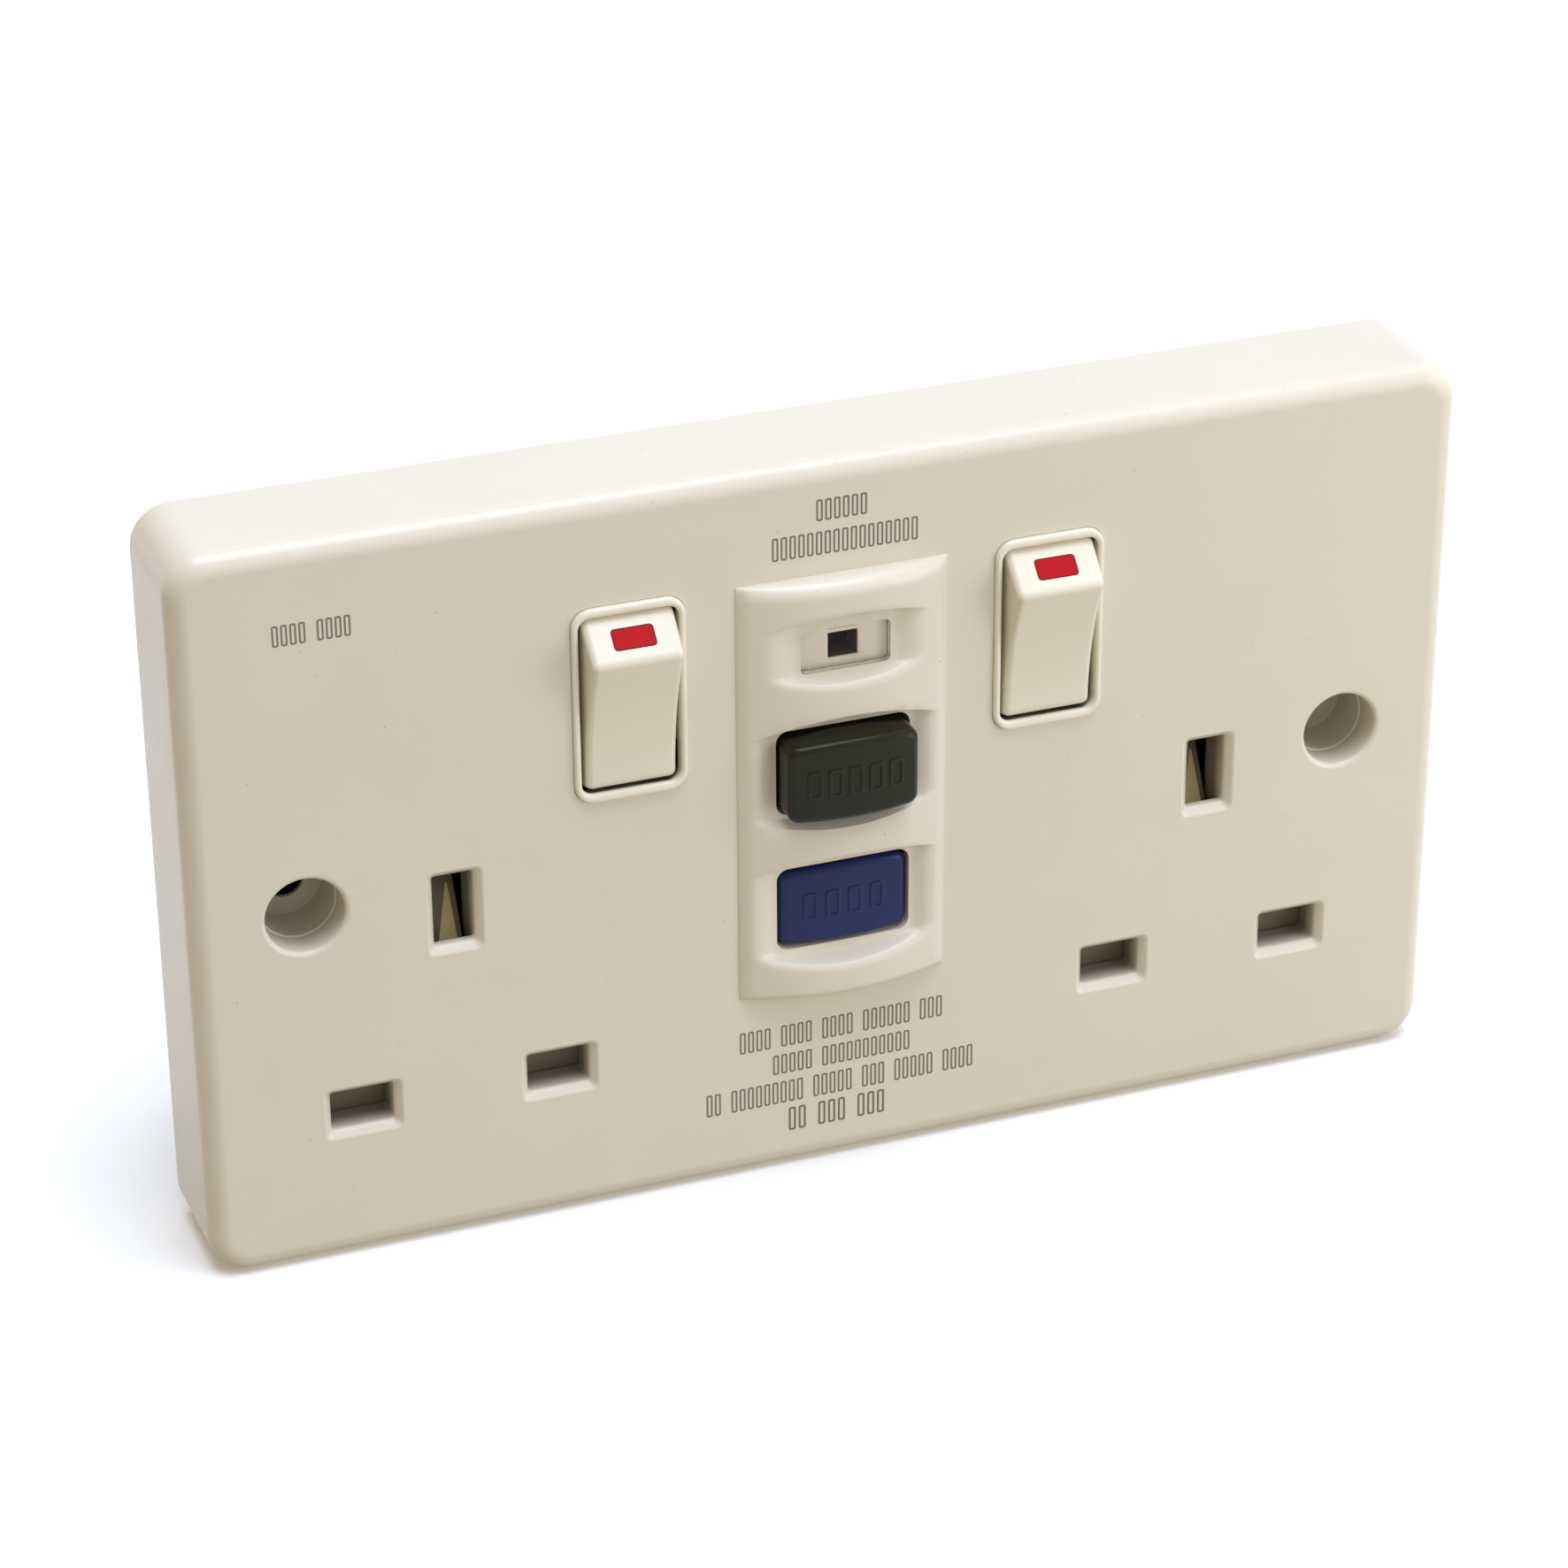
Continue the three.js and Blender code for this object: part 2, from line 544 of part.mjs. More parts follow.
for (const { side, sign } of SIDES) {
  const x = sign * SWITCH_X;
  // fixed contact behind the blade's upper end, led to the live pin contact
  const down = sign > 0 ? SOCKET_X - PIN_SPACING / 2 : -36;
  const pieces = [
    post(x, SWITCH_Z + 6.6, 3.9, LIVE_Y),
    strip(LIVE_Y, [Math.min(x - 2, down - 1.8), Math.max(x + 2, down + 1.8)], [24, 27.6]),
    strip(LIVE_Y, [down - 1.8, down + 1.8], [sign > 0 ? -27 : -16.6, 27.6]),
  ];
  const contactX = sign * SOCKET_X - PIN_SPACING / 2;
  if (sign < 0) {
    pieces.push(strip(LIVE_Y, [contactX - 1.8, down + 1.8], [-16.6, -13.4]));
    pieces.push(strip(LIVE_Y, [contactX - 1.8, contactX + 1.8], [-27, -13.4]));
  }
  pieces.push(block(span(contactX, 1.5), [4.9 + GAP, LIVE_Y + 0.1], [-26.5, -23]));
  add(`switched_live_${side}`, join(...pieces), COPPER);
}

const loadRun = [-8, -5];
add(
  'live_load_bar',
  join(
    strip(LIVE_Y, [-SWITCH_X - 1.8, SWITCH_X + 1.8], loadRun),
    strip(LIVE_Y, [CONTACT_X - 1.8, CONTACT_X + 1.8], [loadRun[0], LOAD_Z + 2]),
    post(CONTACT_X, LOAD_Z, PAD_Y, LIVE_Y),
    ...SIDES.flatMap(({ sign }) => [
      strip(LIVE_Y, [sign * SWITCH_X - 1.8, sign * SWITCH_X + 1.8], [loadRun[0], SWITCH_Z + 2]),
      post(sign * SWITCH_X, SWITCH_Z, BLADE_PIVOT_Y + 0.2, LIVE_Y, 1.4),
    ]),
  ),
  COPPER,
);
add(
  'live_supply_bar',
  join(
    strip(SUPPLY_Y, [CONTACT_X - 1.8, 54], [28.8, 30.6]),
    strip(SUPPLY_Y, [CONTACT_X - 1.8, CONTACT_X + 1.8], [SUPPLY_Z - 2, 30.6]),
    post(CONTACT_X, SUPPLY_Z, PAD_Y, SUPPLY_Y),
  ),
  COPPER,
);
add(
  'neutral_supply_bar',
  join(
    strip(SUPPLY_Y, [-54, 1.8 - CONTACT_X], [28.8, 30.6]),
    strip(SUPPLY_Y, [-CONTACT_X - 1.8, 1.8 - CONTACT_X], [SUPPLY_Z - 2, 30.6]),
    post(-CONTACT_X, SUPPLY_Z, PAD_Y, SUPPLY_Y),
  ),
  COPPER,
);
add(
  'neutral_load_bar',
  join(
    strip(NEUTRAL_Y, [-CONTACT_X - 1.8, 1.8 - CONTACT_X], [-16, LOAD_Z + 2]),
    strip(NEUTRAL_Y, [-SOCKET_X + PIN_SPACING / 2 - 2.4, SOCKET_X + PIN_SPACING / 2 + 2.4], [-17, -14]),
    post(-CONTACT_X, LOAD_Z, PAD_Y, NEUTRAL_Y),
    ...SIDES.flatMap(({ sign }) => {
      const x = sign * SOCKET_X + PIN_SPACING / 2;
      const foot = block(span(x, 1.5), [4.9 + GAP, NEUTRAL_Y + 0.1], [-26.5, -23]);
      return [strip(NEUTRAL_Y, span(x, 1.8), [-27, -15]), foot];
    }),
  ),
  COPPER,
);

/** A fork that grips a flat pin between its two leaves: a side profile of [depth, offset]. */
function forkLeaf(mouth, throatAt, throat, back, thick) {
  return [
    [mouth.at, mouth.half],
    [throatAt, throat],
    [back, throat + 0.3],
    [back, throat + 0.3 + thick],
    [throatAt, throat + thick],
    [mouth.at, mouth.half + thick],
  ];
}

for (const { side, sign } of SIDES) {
  for (const [pole, offset] of [['live', -PIN_SPACING / 2], ['neutral', PIN_SPACING / 2]]) {
    const x = sign * SOCKET_X + offset;
    const leaf = forkLeaf({ at: -6.6, half: 3.1 }, -4, 1.85, 4.5, 0.7);
    const upper = leaf.map(([y, z]) => [y, LN_Z + z]).reverse();
    const lower = leaf.map(([y, z]) => [y, LN_Z - z]);
    const fork = join(
      profileX(upper, x - 3.4, x + 3.4),
      profileX(lower, x - 3.4, x + 3.4),
      block([x - 3.4, x + 3.4], [4.1, 4.9], [LN_Z - 2.8, LN_Z + 2.8]),
    );
    add(`${pole}_contact_${side}`, fork, BRASS);
  }
}

/** The earth fork of one socket, with flared leaves either side of the shutter's ramp. */
function earthFork(x) {
  const back = EARTH_Y + 0.1;
  const inner = [
    [4.3, -8.6],
    [2.5, -4.6],
    [1.85, -2],
    [2.1, back],
  ];
  const leaf = [...inner, ...inner.map(([a, b]) => [a + 0.8, b]).reverse()];
  const right = leaf.map(([a, b]) => [x + a, b]);
  const left = leaf.map(([a, b]) => [x - a, b]).reverse();
  const web = block(span(x, 2.8), [EARTH_Y - 2, back], [-7, 1]);
  return [profileZ(right, -7, 1), profileZ(left, -7, 1), web];
}
add(
  'earth_strap',
  join(
    strip(EARTH_Y, [-SOCKET_X - 3, SOCKET_X + 3], [-6.4, -1.4]),
    strip(SUPPLY_Y, [37, 41], [-6.4, 27]),
    block([37, 41], [SUPPLY_Y, EARTH_Y + STRIP_T], [-6.4, -1.4]),
    ...earthFork(-SOCKET_X),
    ...earthFork(SOCKET_X),
  ),
  BRASS,
);

// ---- shutters -----------------------------------------------------------------------------
for (const { side, sign } of SIDES) {
  const x = sign * SOCKET_X;
  const [front, back] = [COLLAR_Y + GAP, -7.9];
  const ramp = [
    [-11.2, -15],
    [-10.2, -16.5],
    [-6.6, -16.5],
    [-6.6, -3.5],
    [-7.27, -1.5],
    [-11.2, -9],
  ];
  const shutter = join(
    block(span(x, 15.3), [front, back], [-27.6, -22]),
    block(span(x, 3.4), [front, back], [-23, CHANNEL.bottom - 0.4]),
    profileX(ramp, x - 1.9, x + 1.9),
  );
  add(`shutter_${side}`, shutter, TAN);
  const coil = spring(1.7, 0.4, 9.3, 6).translate(x, -9.1, -37.2);
  add(`shutter_spring_${side}`, coil, STEEL);
}

// ---- buttons and trip mechanism -----------------------------------------------------------
const BUTTONS = [
  { name: 'reset', z: RESET_Z, out: RESET_OUT, stem: STEM_RESET, finish: GREEN },
  { name: 'test', z: TEST_Z, out: TEST_OUT, stem: STEM_TEST, finish: BLUE },
];
for (const { name, z, out, stem, finish } of BUTTONS) {
  const edge = 0.7;
  const rounding = { bevelEnabled: true, bevelThickness: edge, bevelSize: edge, bevelSegments: 2 };
  const plan = roundedRect(0, z, BUTTON_W - 2 * edge, BUTTON_H - 2 * edge, 0.5);
  const cap = slab(plan, FRONT_Y - out + edge, FLANGE_Y + 0.3, rounding);
  const { w, h } = FLANGE_HALF;
  const flange = block([-w, w], [FLANGE_Y, FLANGE_Y + FLANGE_T], span(z, h));
  const trimmed = cut(cap, box(0, FLANGE_Y + 5.5, z, 30, 10, 30));
  add(`${name}_button`, join(trimmed, flange, rodY(0, z, stem.r, FLANGE_Y, stem.y, 16)), finish);
  const coil = springY(0, z, FLANGE_Y + FLANGE_T + 0.1, stem.r + 0.9, 0.45, 5.2, 3);
  add(`${name}_spring`, coil, STEEL);
}

// the springs seat on this plate and the stems pass through it
let yoke = block([-16.4, 16.4], [-6.4, -5.2], [-16, 15.6]);
for (const { z, stem } of BUTTONS) {
  yoke = cut(yoke, rodY(0, z, stem.r + 0.5, -8, -3, 16));
}
add('mechanism_plate', yoke, GREY);

let carriage = block([-10.8, 10.8], [-3.7, -0.7], [-2.5, 16.5]);
carriage = join(carriage, block([-0.6, 0.6], [-1, 1.4], [-2.5, 16.5]));
for (const { sign } of SIDES) {
  carriage = cut(carriage, rodY(sign * GUIDE.x, GUIDE.z, GUIDE.r + GAP, -5, 2, 12));
}
add('contact_carriage', carriage, DARK);
for (const [pole, sign] of [['live', 1], ['neutral', -1]]) {
  const x = sign * CONTACT_X;
  const bridge = join(
    block([x - 2.2, x + 2.2], [-0.4, 0.3], [LOAD_Z - 2.4, SUPPLY_Z + 2.2]),
    rodY(x, LOAD_Z, 1.5, 0, 0.6, 12),
    rodY(x, SUPPLY_Z, 1.5, 0, 0.6, 12),
  );
  add(`moving_contact_${pole}`, bridge, COPPER);
}

const lens = roundedRect(0, WINDOW_Z, WINDOW_W, WINDOW_H, 0.6);
const lensBack = FRONT_Y - LENS.out + LENS.thick;
add('indicator_window', slab(lens, FRONT_Y - LENS.out, lensBack), CLEAR);
const surround = cut(
  join(
    slab(lens, lensBack + GAP, INSERT.back),
    slab(roundedRect(0, WINDOW_Z, INSERT.w, INSERT.h, 0.8), CROWN_CORE_Y + GAP, INSERT.back),
  ),
  box(0, INSERT.back, WINDOW_Z, APERTURE.w, 2 * APERTURE.deep, APERTURE.h),
);
add('indicator_surround', surround, WHITE);
const flag = join(
  block([-4, 4], [-11.6, -10.6], [13.7, 25]),
  block([-1.5, 1.5], [-10.8, -7.2], [13.7, 15.3]),
);
add('indicator_flag', flag, DARK);

let board = block([-15.5, 15.5], [BOARD_Y, BOARD_Y + BOARD_T], [-30.2, 10.8]);
board = cut(board, rodY(-10, 4, 1, BOARD_Y - 1, BOARD_Y + 3, 10));
add('circuit_board', board, BOARD);

const toroid = cut(rodY(0, LOAD_Z, TOROID.outer, 4.4, 9.4, 28), rodY(0, LOAD_Z, TOROID.inner, 4, 10, 24));
add('sensing_toroid', toroid, CORE);

const bobbin = cut(
  join(
    rodX(COIL.y, COIL.z, 2.6, COIL.x - 7, COIL.x + 7, 18),
    rodX(COIL.y, COIL.z, 5.2, COIL.x - 7, COIL.x - 6, 20),
    rodX(COIL.y, COIL.z, 5.2, COIL.x + 6, COIL.x + 7, 20),
  ),
  rodX(COIL.y, COIL.z, 1.9, COIL.x - 9, COIL.x + 9, 16),
);
add('coil_bobbin', bobbin, DARK);
const winding = cut(
  rodX(COIL.y, COIL.z, 4.7, COIL.x - 5.7, COIL.x + 5.7, 22),
  rodX(COIL.y, COIL.z, 2.9, COIL.x - 9, COIL.x + 9, 18),
);
add('coil_winding', winding, COPPER);
const cheekX = 7 + GAP; // the frame's cheeks stand outside the bobbin's flanges
const coilFrame = cut(
  join(
    block(span(COIL.x, cheekX + 1), [COIL.y + 5.4, COIL.y + 5.8], span(COIL.z, 5)),
    block([COIL.x - cheekX - 1, COIL.x - cheekX], [COIL.y - 5, COIL.y + 5.8], span(COIL.z, 5)),
    block([COIL.x + cheekX, COIL.x + cheekX + 1], [COIL.y - 5, COIL.y + 5.8], span(COIL.z, 5)),
  ),
  rodX(COIL.y, COIL.z, 2, COIL.x, COIL.x + 12, 14),
);
add('coil_frame', coilFrame, STEEL);
const plungerEnd = LATCH.x - 1 - 2 * GAP;
const coilPlunger = join(
  rodX(COIL.y, COIL.z, 1.6, COIL.x - 5, LATCH.x + 2, 14),
  rodX(COIL.y, COIL.z, 2.6, plungerEnd - 1.2, plungerEnd, 16), // collar for the return spring
  rodX(COIL.y, COIL.z, 3, LATCH.x + 1.9, LATCH.x + 3.2, 16), // head that pulls the latch
);
add('coil_plunger', coilPlunger, STEEL);
const returnSpring = spring(2.05, 0.35, 9.2, 5).rotateY(Math.PI / 2);
add('plunger_spring', returnSpring.translate(COIL.x + cheekX + 1.1, COIL.y, COIL.z), STEEL);

const latch = cut(
  join(
    rodY(LATCH.x, LATCH.z, 2.5, -3.2, 11.2, 16),
    block([LATCH.x - 1, LATCH.x + 1], [8.6, 10.4], [-22, LATCH.z]),
    block([LATCH.x - 1, LATCH.x + 1], [COIL.y - 3.6, COIL.y + 3.6], [COIL.z - 3.6, COIL.z + 3.6]),
    block([LATCH.x - 1, LATCH.x + 1], [-3.2, -1.4], [LATCH.z, 1.5]),
    block([LATCH.x - 1.9, LATCH.x], [-3.2, -1.4], [-0.5, 1.5]),
  ),
  rodY(LATCH.x, LATCH.z, 1, -5, 13, 12),
  rodX(COIL.y, COIL.z, 2.3, LATCH.x - 3, LATCH.x + 3, 14), // the plunger passes through
);
add('trip_latch', latch, STEEL);

const testStrip = join(
  block([-2, 2], [-1.5, BOARD_Y - GAP], [-13.7, -12.9]),
  block([-2, 2], [-1.5, -0.8], [-13.7, -6.5]),
);
add('test_contact', testStrip, BRASS);

const boardBack = BOARD_Y + BOARD_T + GAP;
add('control_chip', block([-4, 4], [boardBack, boardBack + 1.6], [-12, -4]), DARK);
add('capacitor', rodY(6, -22, 3.1, boardBack, 21.6, 18), BLUE);

export default outlet;
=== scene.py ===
"""Looks of the twin switched socket outlet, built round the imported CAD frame.

Lengths are millimetres until a mesh is made. +X is to the viewer's right, +Z is up and the front
faces -Y. A height is measured out of the plate's front plane, towards the viewer.
"""

import json
import math

import bmesh
import bpy
from mathutils import Matrix, Vector
from mathutils.geometry import delaunay_2d_cdt

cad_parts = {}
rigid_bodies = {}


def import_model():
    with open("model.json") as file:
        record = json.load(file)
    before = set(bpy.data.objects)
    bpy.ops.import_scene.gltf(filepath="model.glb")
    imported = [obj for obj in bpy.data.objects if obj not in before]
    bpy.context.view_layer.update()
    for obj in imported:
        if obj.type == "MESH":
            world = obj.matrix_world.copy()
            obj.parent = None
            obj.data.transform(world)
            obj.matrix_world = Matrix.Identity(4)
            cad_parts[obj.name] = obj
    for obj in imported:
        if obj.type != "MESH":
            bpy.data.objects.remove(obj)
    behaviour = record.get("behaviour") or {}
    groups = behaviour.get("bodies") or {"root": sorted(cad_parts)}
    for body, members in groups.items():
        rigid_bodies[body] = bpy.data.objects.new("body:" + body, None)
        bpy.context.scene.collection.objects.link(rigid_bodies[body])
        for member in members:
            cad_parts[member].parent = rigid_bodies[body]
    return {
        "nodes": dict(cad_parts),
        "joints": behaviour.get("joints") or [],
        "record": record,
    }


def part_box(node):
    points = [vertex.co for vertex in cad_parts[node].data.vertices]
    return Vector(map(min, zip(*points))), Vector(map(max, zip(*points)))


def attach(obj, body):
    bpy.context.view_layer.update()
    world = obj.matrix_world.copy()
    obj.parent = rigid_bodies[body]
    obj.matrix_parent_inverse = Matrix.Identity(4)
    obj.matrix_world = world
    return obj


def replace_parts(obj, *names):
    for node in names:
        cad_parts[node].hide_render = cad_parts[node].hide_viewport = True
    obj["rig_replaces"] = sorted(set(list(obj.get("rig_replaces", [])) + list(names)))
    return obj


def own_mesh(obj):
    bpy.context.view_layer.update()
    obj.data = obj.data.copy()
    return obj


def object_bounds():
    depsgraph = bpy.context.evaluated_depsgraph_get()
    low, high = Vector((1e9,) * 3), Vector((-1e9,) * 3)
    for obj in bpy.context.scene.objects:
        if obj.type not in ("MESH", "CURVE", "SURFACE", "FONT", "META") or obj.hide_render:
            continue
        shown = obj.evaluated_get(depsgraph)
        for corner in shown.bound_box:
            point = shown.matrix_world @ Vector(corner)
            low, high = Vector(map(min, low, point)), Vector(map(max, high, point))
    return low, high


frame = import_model()
cad_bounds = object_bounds()
record = frame["record"]
MM = 0.001
SIDES = ("left", "right")
INDICATOR_CHANGE = 2.0  # the flag turns from black to red this far below the insert's middle


# ---- places that the frame gives ----------------------------------------------------------
def box_mm(node):
    low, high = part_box(node)
    return low / MM, high / MM


def middle(node):
    low, high = box_mm(node)
    return (low + high) / 2


def opening(name):
    """The centre, in X and Z, of a stated opening."""
    low, high = next(o["box_m"] for o in record["physics"]["openings"] if o["name"] == name)
    return (low[0] + high[0]) / 2 / MM, (low[2] + high[2]) / 2 / MM


def joint_place(name):
    joint = next(j for j in frame["joints"] if j["name"] == name)
    return Vector(joint["pos_m"]) / MM


PLATE_LOW, PLATE_HIGH = box_mm("front_plate")
HALF_W, HALF_H = PLATE_HIGH.x, PLATE_HIGH.z
CROWN_RISE = 3.0
FRONT = PLATE_LOW.y + CROWN_RISE  # the plate's front plane

# ---- sizes of the mouldings ---------------------------------------------------------------
DRAFT = 0.22  # the sides lean in by this much from the wall to the front
EDGE_R = 2.3  # rounding between the front and the sides
CORNER_R = 4.5
RIM_R = 0.3  # rounding at the wall
WALL = 2.5
INNER_DEEP = 3.0  # thickness of the front
COLUMN_R = 6.5
COLUMN_END = -0.3

WELL_R = 4.35
WELL_DEEP = 9.0
WELL_STEP = 3.7  # a slight step in the well
WELL_ROUND = 0.6
SCREW_HOLE_R = 2.2
BOSS_R, BOSS_TIP_R, BOSS_BORE_R = 3.4, 3.3, 1.25
RIB_OUT, RIB_Z, RIB_SIZE, RIB_END = 16.4, -28, (1.2, 14), -7.5  # ribs that guide a shutter
SEAT_Z, SEAT_SIZE, SEAT_END = -39, (8, 2.8), -6.9  # the seat of a shutter's spring

LN_HOLE = (7.0, 4.5)
EARTH_HOLE = (4.5, 8.3)
HOLE_CORNER = 0.3
COLLAR_END = -10.6
COLLAR_WALL = 1.5
CHANNEL = {"front": -13.4, "back": -9.5, "bottom": -14.9, "cut": -15.9}

CROWN_HALF = 12.1
CROWN_TOP = 30.0
CROWN_BOTTOM = -20.2
CROWN_FALL = 0.01736  # the panel's arc drops by this times x squared
CROWN_SIDE_ROUND = 1.5  # width of the rounding along the panel's long sides
CROWN_CORE = 1.5  # the panel is cored out to this depth behind the front plane
CORE_W = 20.4
# the finger pockets from the lowest up: height of the floor, half width, length of the soft ends,
# low and high edges with their bows, width of the low wall and length of its soft outer edge
POCKETS = (
    {"floor": 0.45, "half_w": 11.1, "end": 3.3, "low": -14.8, "low_bow": 1.63,
     "high": -4.75, "high_bow": 1.85, "wall": 0.8, "soft": 0.8},
    {"floor": 0.45, "half_w": 11.1, "end": 3.3, "low": 2.0, "low_bow": 1.63,
     "high": 11.7, "high_bow": 2.3, "wall": 0.8, "soft": 2.4},
    {"floor": 1.2, "half_w": 9.8, "end": 4.4, "low": 19.15, "low_bow": 1.24,
     "high": 24.5, "high_bow": 1.6, "wall": 0.65, "soft": 0.8},
)
CROWN_END_ROUND = {-1: 0.9, 1: 1.7}  # rounding of the panel's lower and upper ends
BUTTON_W, BUTTON_H = 15.0, 9.6
BUTTON_GAP = 0.25
FLANGE_BACK = 0.3  # from the core of the panel to a flange behind it
WINDOW_GAP = 0.08

RING_W, RING_H, RING_R = 12.7, 22.8, 2.2
RING_IN_W, RING_IN_H, RING_IN_R = 11.2, 20.7, 1.3
RING_GAP = 0.03
CHEEK_OUT, CHEEK_BACK, CHEEK_SIZE = 5.95, 0.93, (9.1, 12)  # the frame's cheeks, from the pivot
ROCKER_W = 10.3
ROCKER_TILT = 12.75
ROCKER_EDGE_R = 0.72
# the rocker's side profile from its pivot: the ridges, the dish between them and the round ends
RIDGE_OUT, RIDGE_UP, DISH = 7.93, 8.15, 0.95
SKIRT_R, SKIRT_FROM = 11.45, 73


# ---- outlines -----------------------------------------------------------------------------
def rounded_rect(x, z, w, h, r, steps=6):
    """A counter-clockwise outline in X and Z."""
    points = []
    for quarter, (side, up) in enumerate(((1, -1), (1, 1), (-1, 1), (-1, -1))):
        corner_x = x + side * (w / 2 - r)
        corner_z = z + up * (h / 2 - r)
        for step in range(steps + 1):
            angle = math.radians(90 * (quarter - 1 + step / steps))
            points.append((corner_x + r * math.cos(angle), corner_z + r * math.sin(angle)))
    return points


def circle(x, z, r, count=48):
    turns = [2 * math.pi * i / count for i in range(count)]
    return [(x + r * math.cos(a), z + r * math.sin(a)) for a in turns]


def at_height(outline, height):
    """An outline in X and Z, placed at a height out of the front plane."""
    return [(x, FRONT - height, z) for x, z in outline]


def at_y(outline, y):
    return [(x, y, z) for x, z in outline]


def outline_of(loop):
    """The X and Z of an outline that has been placed."""
    return [(x, z) for x, _, z in loop]


def at_window(w, h, r, steps=4):
    """An outline round the middle of the window."""
    return rounded_rect(WINDOW.x, WINDOW.z, w, h, r, steps)


def inside(point, loops):
    """Whether a point is inside the first loop and outside the rest."""
    x, z = point
    odd = False
    for loop in loops:
        for (x0, z0), (x1, z1) in zip(loop, loop[1:] + loop[:1]):
            if (z0 > z) != (z1 > z) and x < x0 + (z - z0) * (x1 - x0) / (z1 - z0):
                odd = not odd
    return odd


def without_repeats(loop):
    kept = []
    for point in loop:
        if not kept or math.dist(point, kept[-1]) > 1e-5:
            kept.append(point)
    if math.dist(kept[0], kept[-1]) < 1e-5:
        kept.pop()
    return kept


# ---- meshes -------------------------------------------------------------------------------
WELD_M = 2e-7
DEGENERATE_M = 1e-8
SHARP_FROM = math.radians(40)  # edges sharper than this are rounded


class Surface:
    """Patches whose edges meet, welded into one closed mesh."""

    def __init__(self):
        self.points = []
        self.faces = []

    def loft(self, loops):
        start = len(self.points)
        count = len(loops[0])
        for loop in loops:
            self.points.extend(loop)
        for row in range(len(loops) - 1):
            for i in range(count):
                a = start + row * count + i
                b = start + row * count + (i + 1) % count
                self.faces.append((a, b, b + count, a + count))

    def fill(self, outer, holes, y):
        """A flat patch at y between an outline and the holes in it."""
        loops = [without_repeats(loop) for loop in (outer, *holes)]
        flat = [Vector(point) for loop in loops for point in loop]
        edges = []
        start = 0
        for loop in loops:
            edges.extend((start + i, start + (i + 1) % len(loop)) for i in range(len(loop)))
            start += len(loop)
        found, _, triangles, *_ = delaunay_2d_cdt(flat, edges, [], 0, 1e-7)
        first = len(self.points)
        self.points.extend((p.x, y, p.y) for p in found)
        for triangle in triangles:
            centre = sum((found[i] for i in triangle), Vector((0, 0))) / 3
            if inside(centre, loops):
                self.faces.append(tuple(first + i for i in triangle))

    def cap(self, loop):
        first = len(self.points)
        self.points.extend(loop)
        self.faces.append(tuple(range(first, first + len(loop))))

    def piece(self, name):
        """The patches welded together, as an object in the scene."""
        mesh = bpy.data.meshes.new(name)
        mesh.from_pydata([Vector(p) * MM for p in self.points], [], self.faces)
        shape = bmesh.new()
        shape.from_mesh(mesh)
        bmesh.ops.remove_doubles(shape, verts=shape.verts, dist=WELD_M)
        bmesh.ops.dissolve_degenerate(shape, edges=shape.edges, dist=DEGENERATE_M)
        bmesh.ops.recalc_face_normals(shape, faces=shape.faces)
        shape.to_mesh(mesh)
        shape.free()
        return linked(name, mesh)


def linked(name, data):
    """A new object in the scene."""
    piece = bpy.data.objects.new(name, data)
    bpy.context.scene.collection.objects.link(piece)
    return piece


def lofted(name, loops, capped=()):
    """A piece through a row of loops, with the loops at these places in the row capped."""
    surface = Surface()
    surface.loft(loops)
    for index in capped:
        surface.cap(loops[index])
    return surface.piece(name)


def settled(piece):
    """Applies a piece's modifiers."""
    graph = bpy.context.evaluated_depsgraph_get()
    graph.update()
    final = bpy.data.meshes.new_from_object(piece.evaluated_get(graph))
    piece.modifiers.clear()
    piece.data = final
    return piece


def rounded(piece, width, segments=2):
    """Rounds the sharp edges of a piece."""
    bevel = piece.modifiers.new("bevel", "BEVEL")
    bevel.width = width * MM
    bevel.segments = segments
    bevel.limit_method = "ANGLE"
    bevel.angle_limit = SHARP_FROM
    bevel.use_clamp_overlap = True
    bevel.miter_outer = "MITER_ARC"
    return settled(piece)


def combined(piece, other, operation):
    boolean = piece.modifiers.new("boolean", "BOOLEAN")
    boolean.object = other
    boolean.operation = operation
    boolean.solver = "EXACT"
    settled(piece)
    bpy.data.objects.remove(other)
    return piece


def smooth(piece, angle=32):
    """Smooth shading that keeps the creases and lets the flat faces lead."""
    piece.data.shade_smooth()
    piece.data.set_sharp_from_angle(angle=math.radians(angle))
    weighted = piece.modifiers.new("weighted", "WEIGHTED_NORMAL")
    weighted.keep_sharp = True
    weighted.weight = 60
    return piece


def place(piece, body, material, slot, *nodes):
    """Gives a piece its body, finish and the CAD nodes it stands for."""
    piece.data.materials.clear()
    piece.data.materials.append(material)
    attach(piece, body)
    if nodes:
        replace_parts(piece, *nodes)
    return piece


def prism(points, axis, start, end, name):
    """A polygon extruded along X, Y or Z. Points are the two other axes in order."""
    order = {"x": (2, 0, 1), "y": (0, 2, 1), "z": (0, 1, 2)}[axis]

    def corner(a, b, along):
        return tuple((a, b, along)[i] for i in order)

    return lofted(name, [[corner(a, b, along) for a, b in points] for along in (start, end)], (0, -1))


def turned_about_x(piece, place_mm, degrees):
    centre = Vector(place_mm) * MM
    turn = Matrix.Rotation(math.radians(degrees), 4, "X")
    piece.data.transform(Matrix.Translation(centre) @ turn @ Matrix.Translation(-centre))
    return piece


# ---- materials ----------------------------------------------------------------------------
def linear(red, green, blue):
    """A display colour, 0 to 255, as the light values a shader takes."""
    values = []
    for channel in (red, green, blue):
        share = channel / 255
        values.append(share / 12.92 if share <= 0.04045 else ((share + 0.055) / 1.055) ** 2.4)
    return (*values, 1.0)


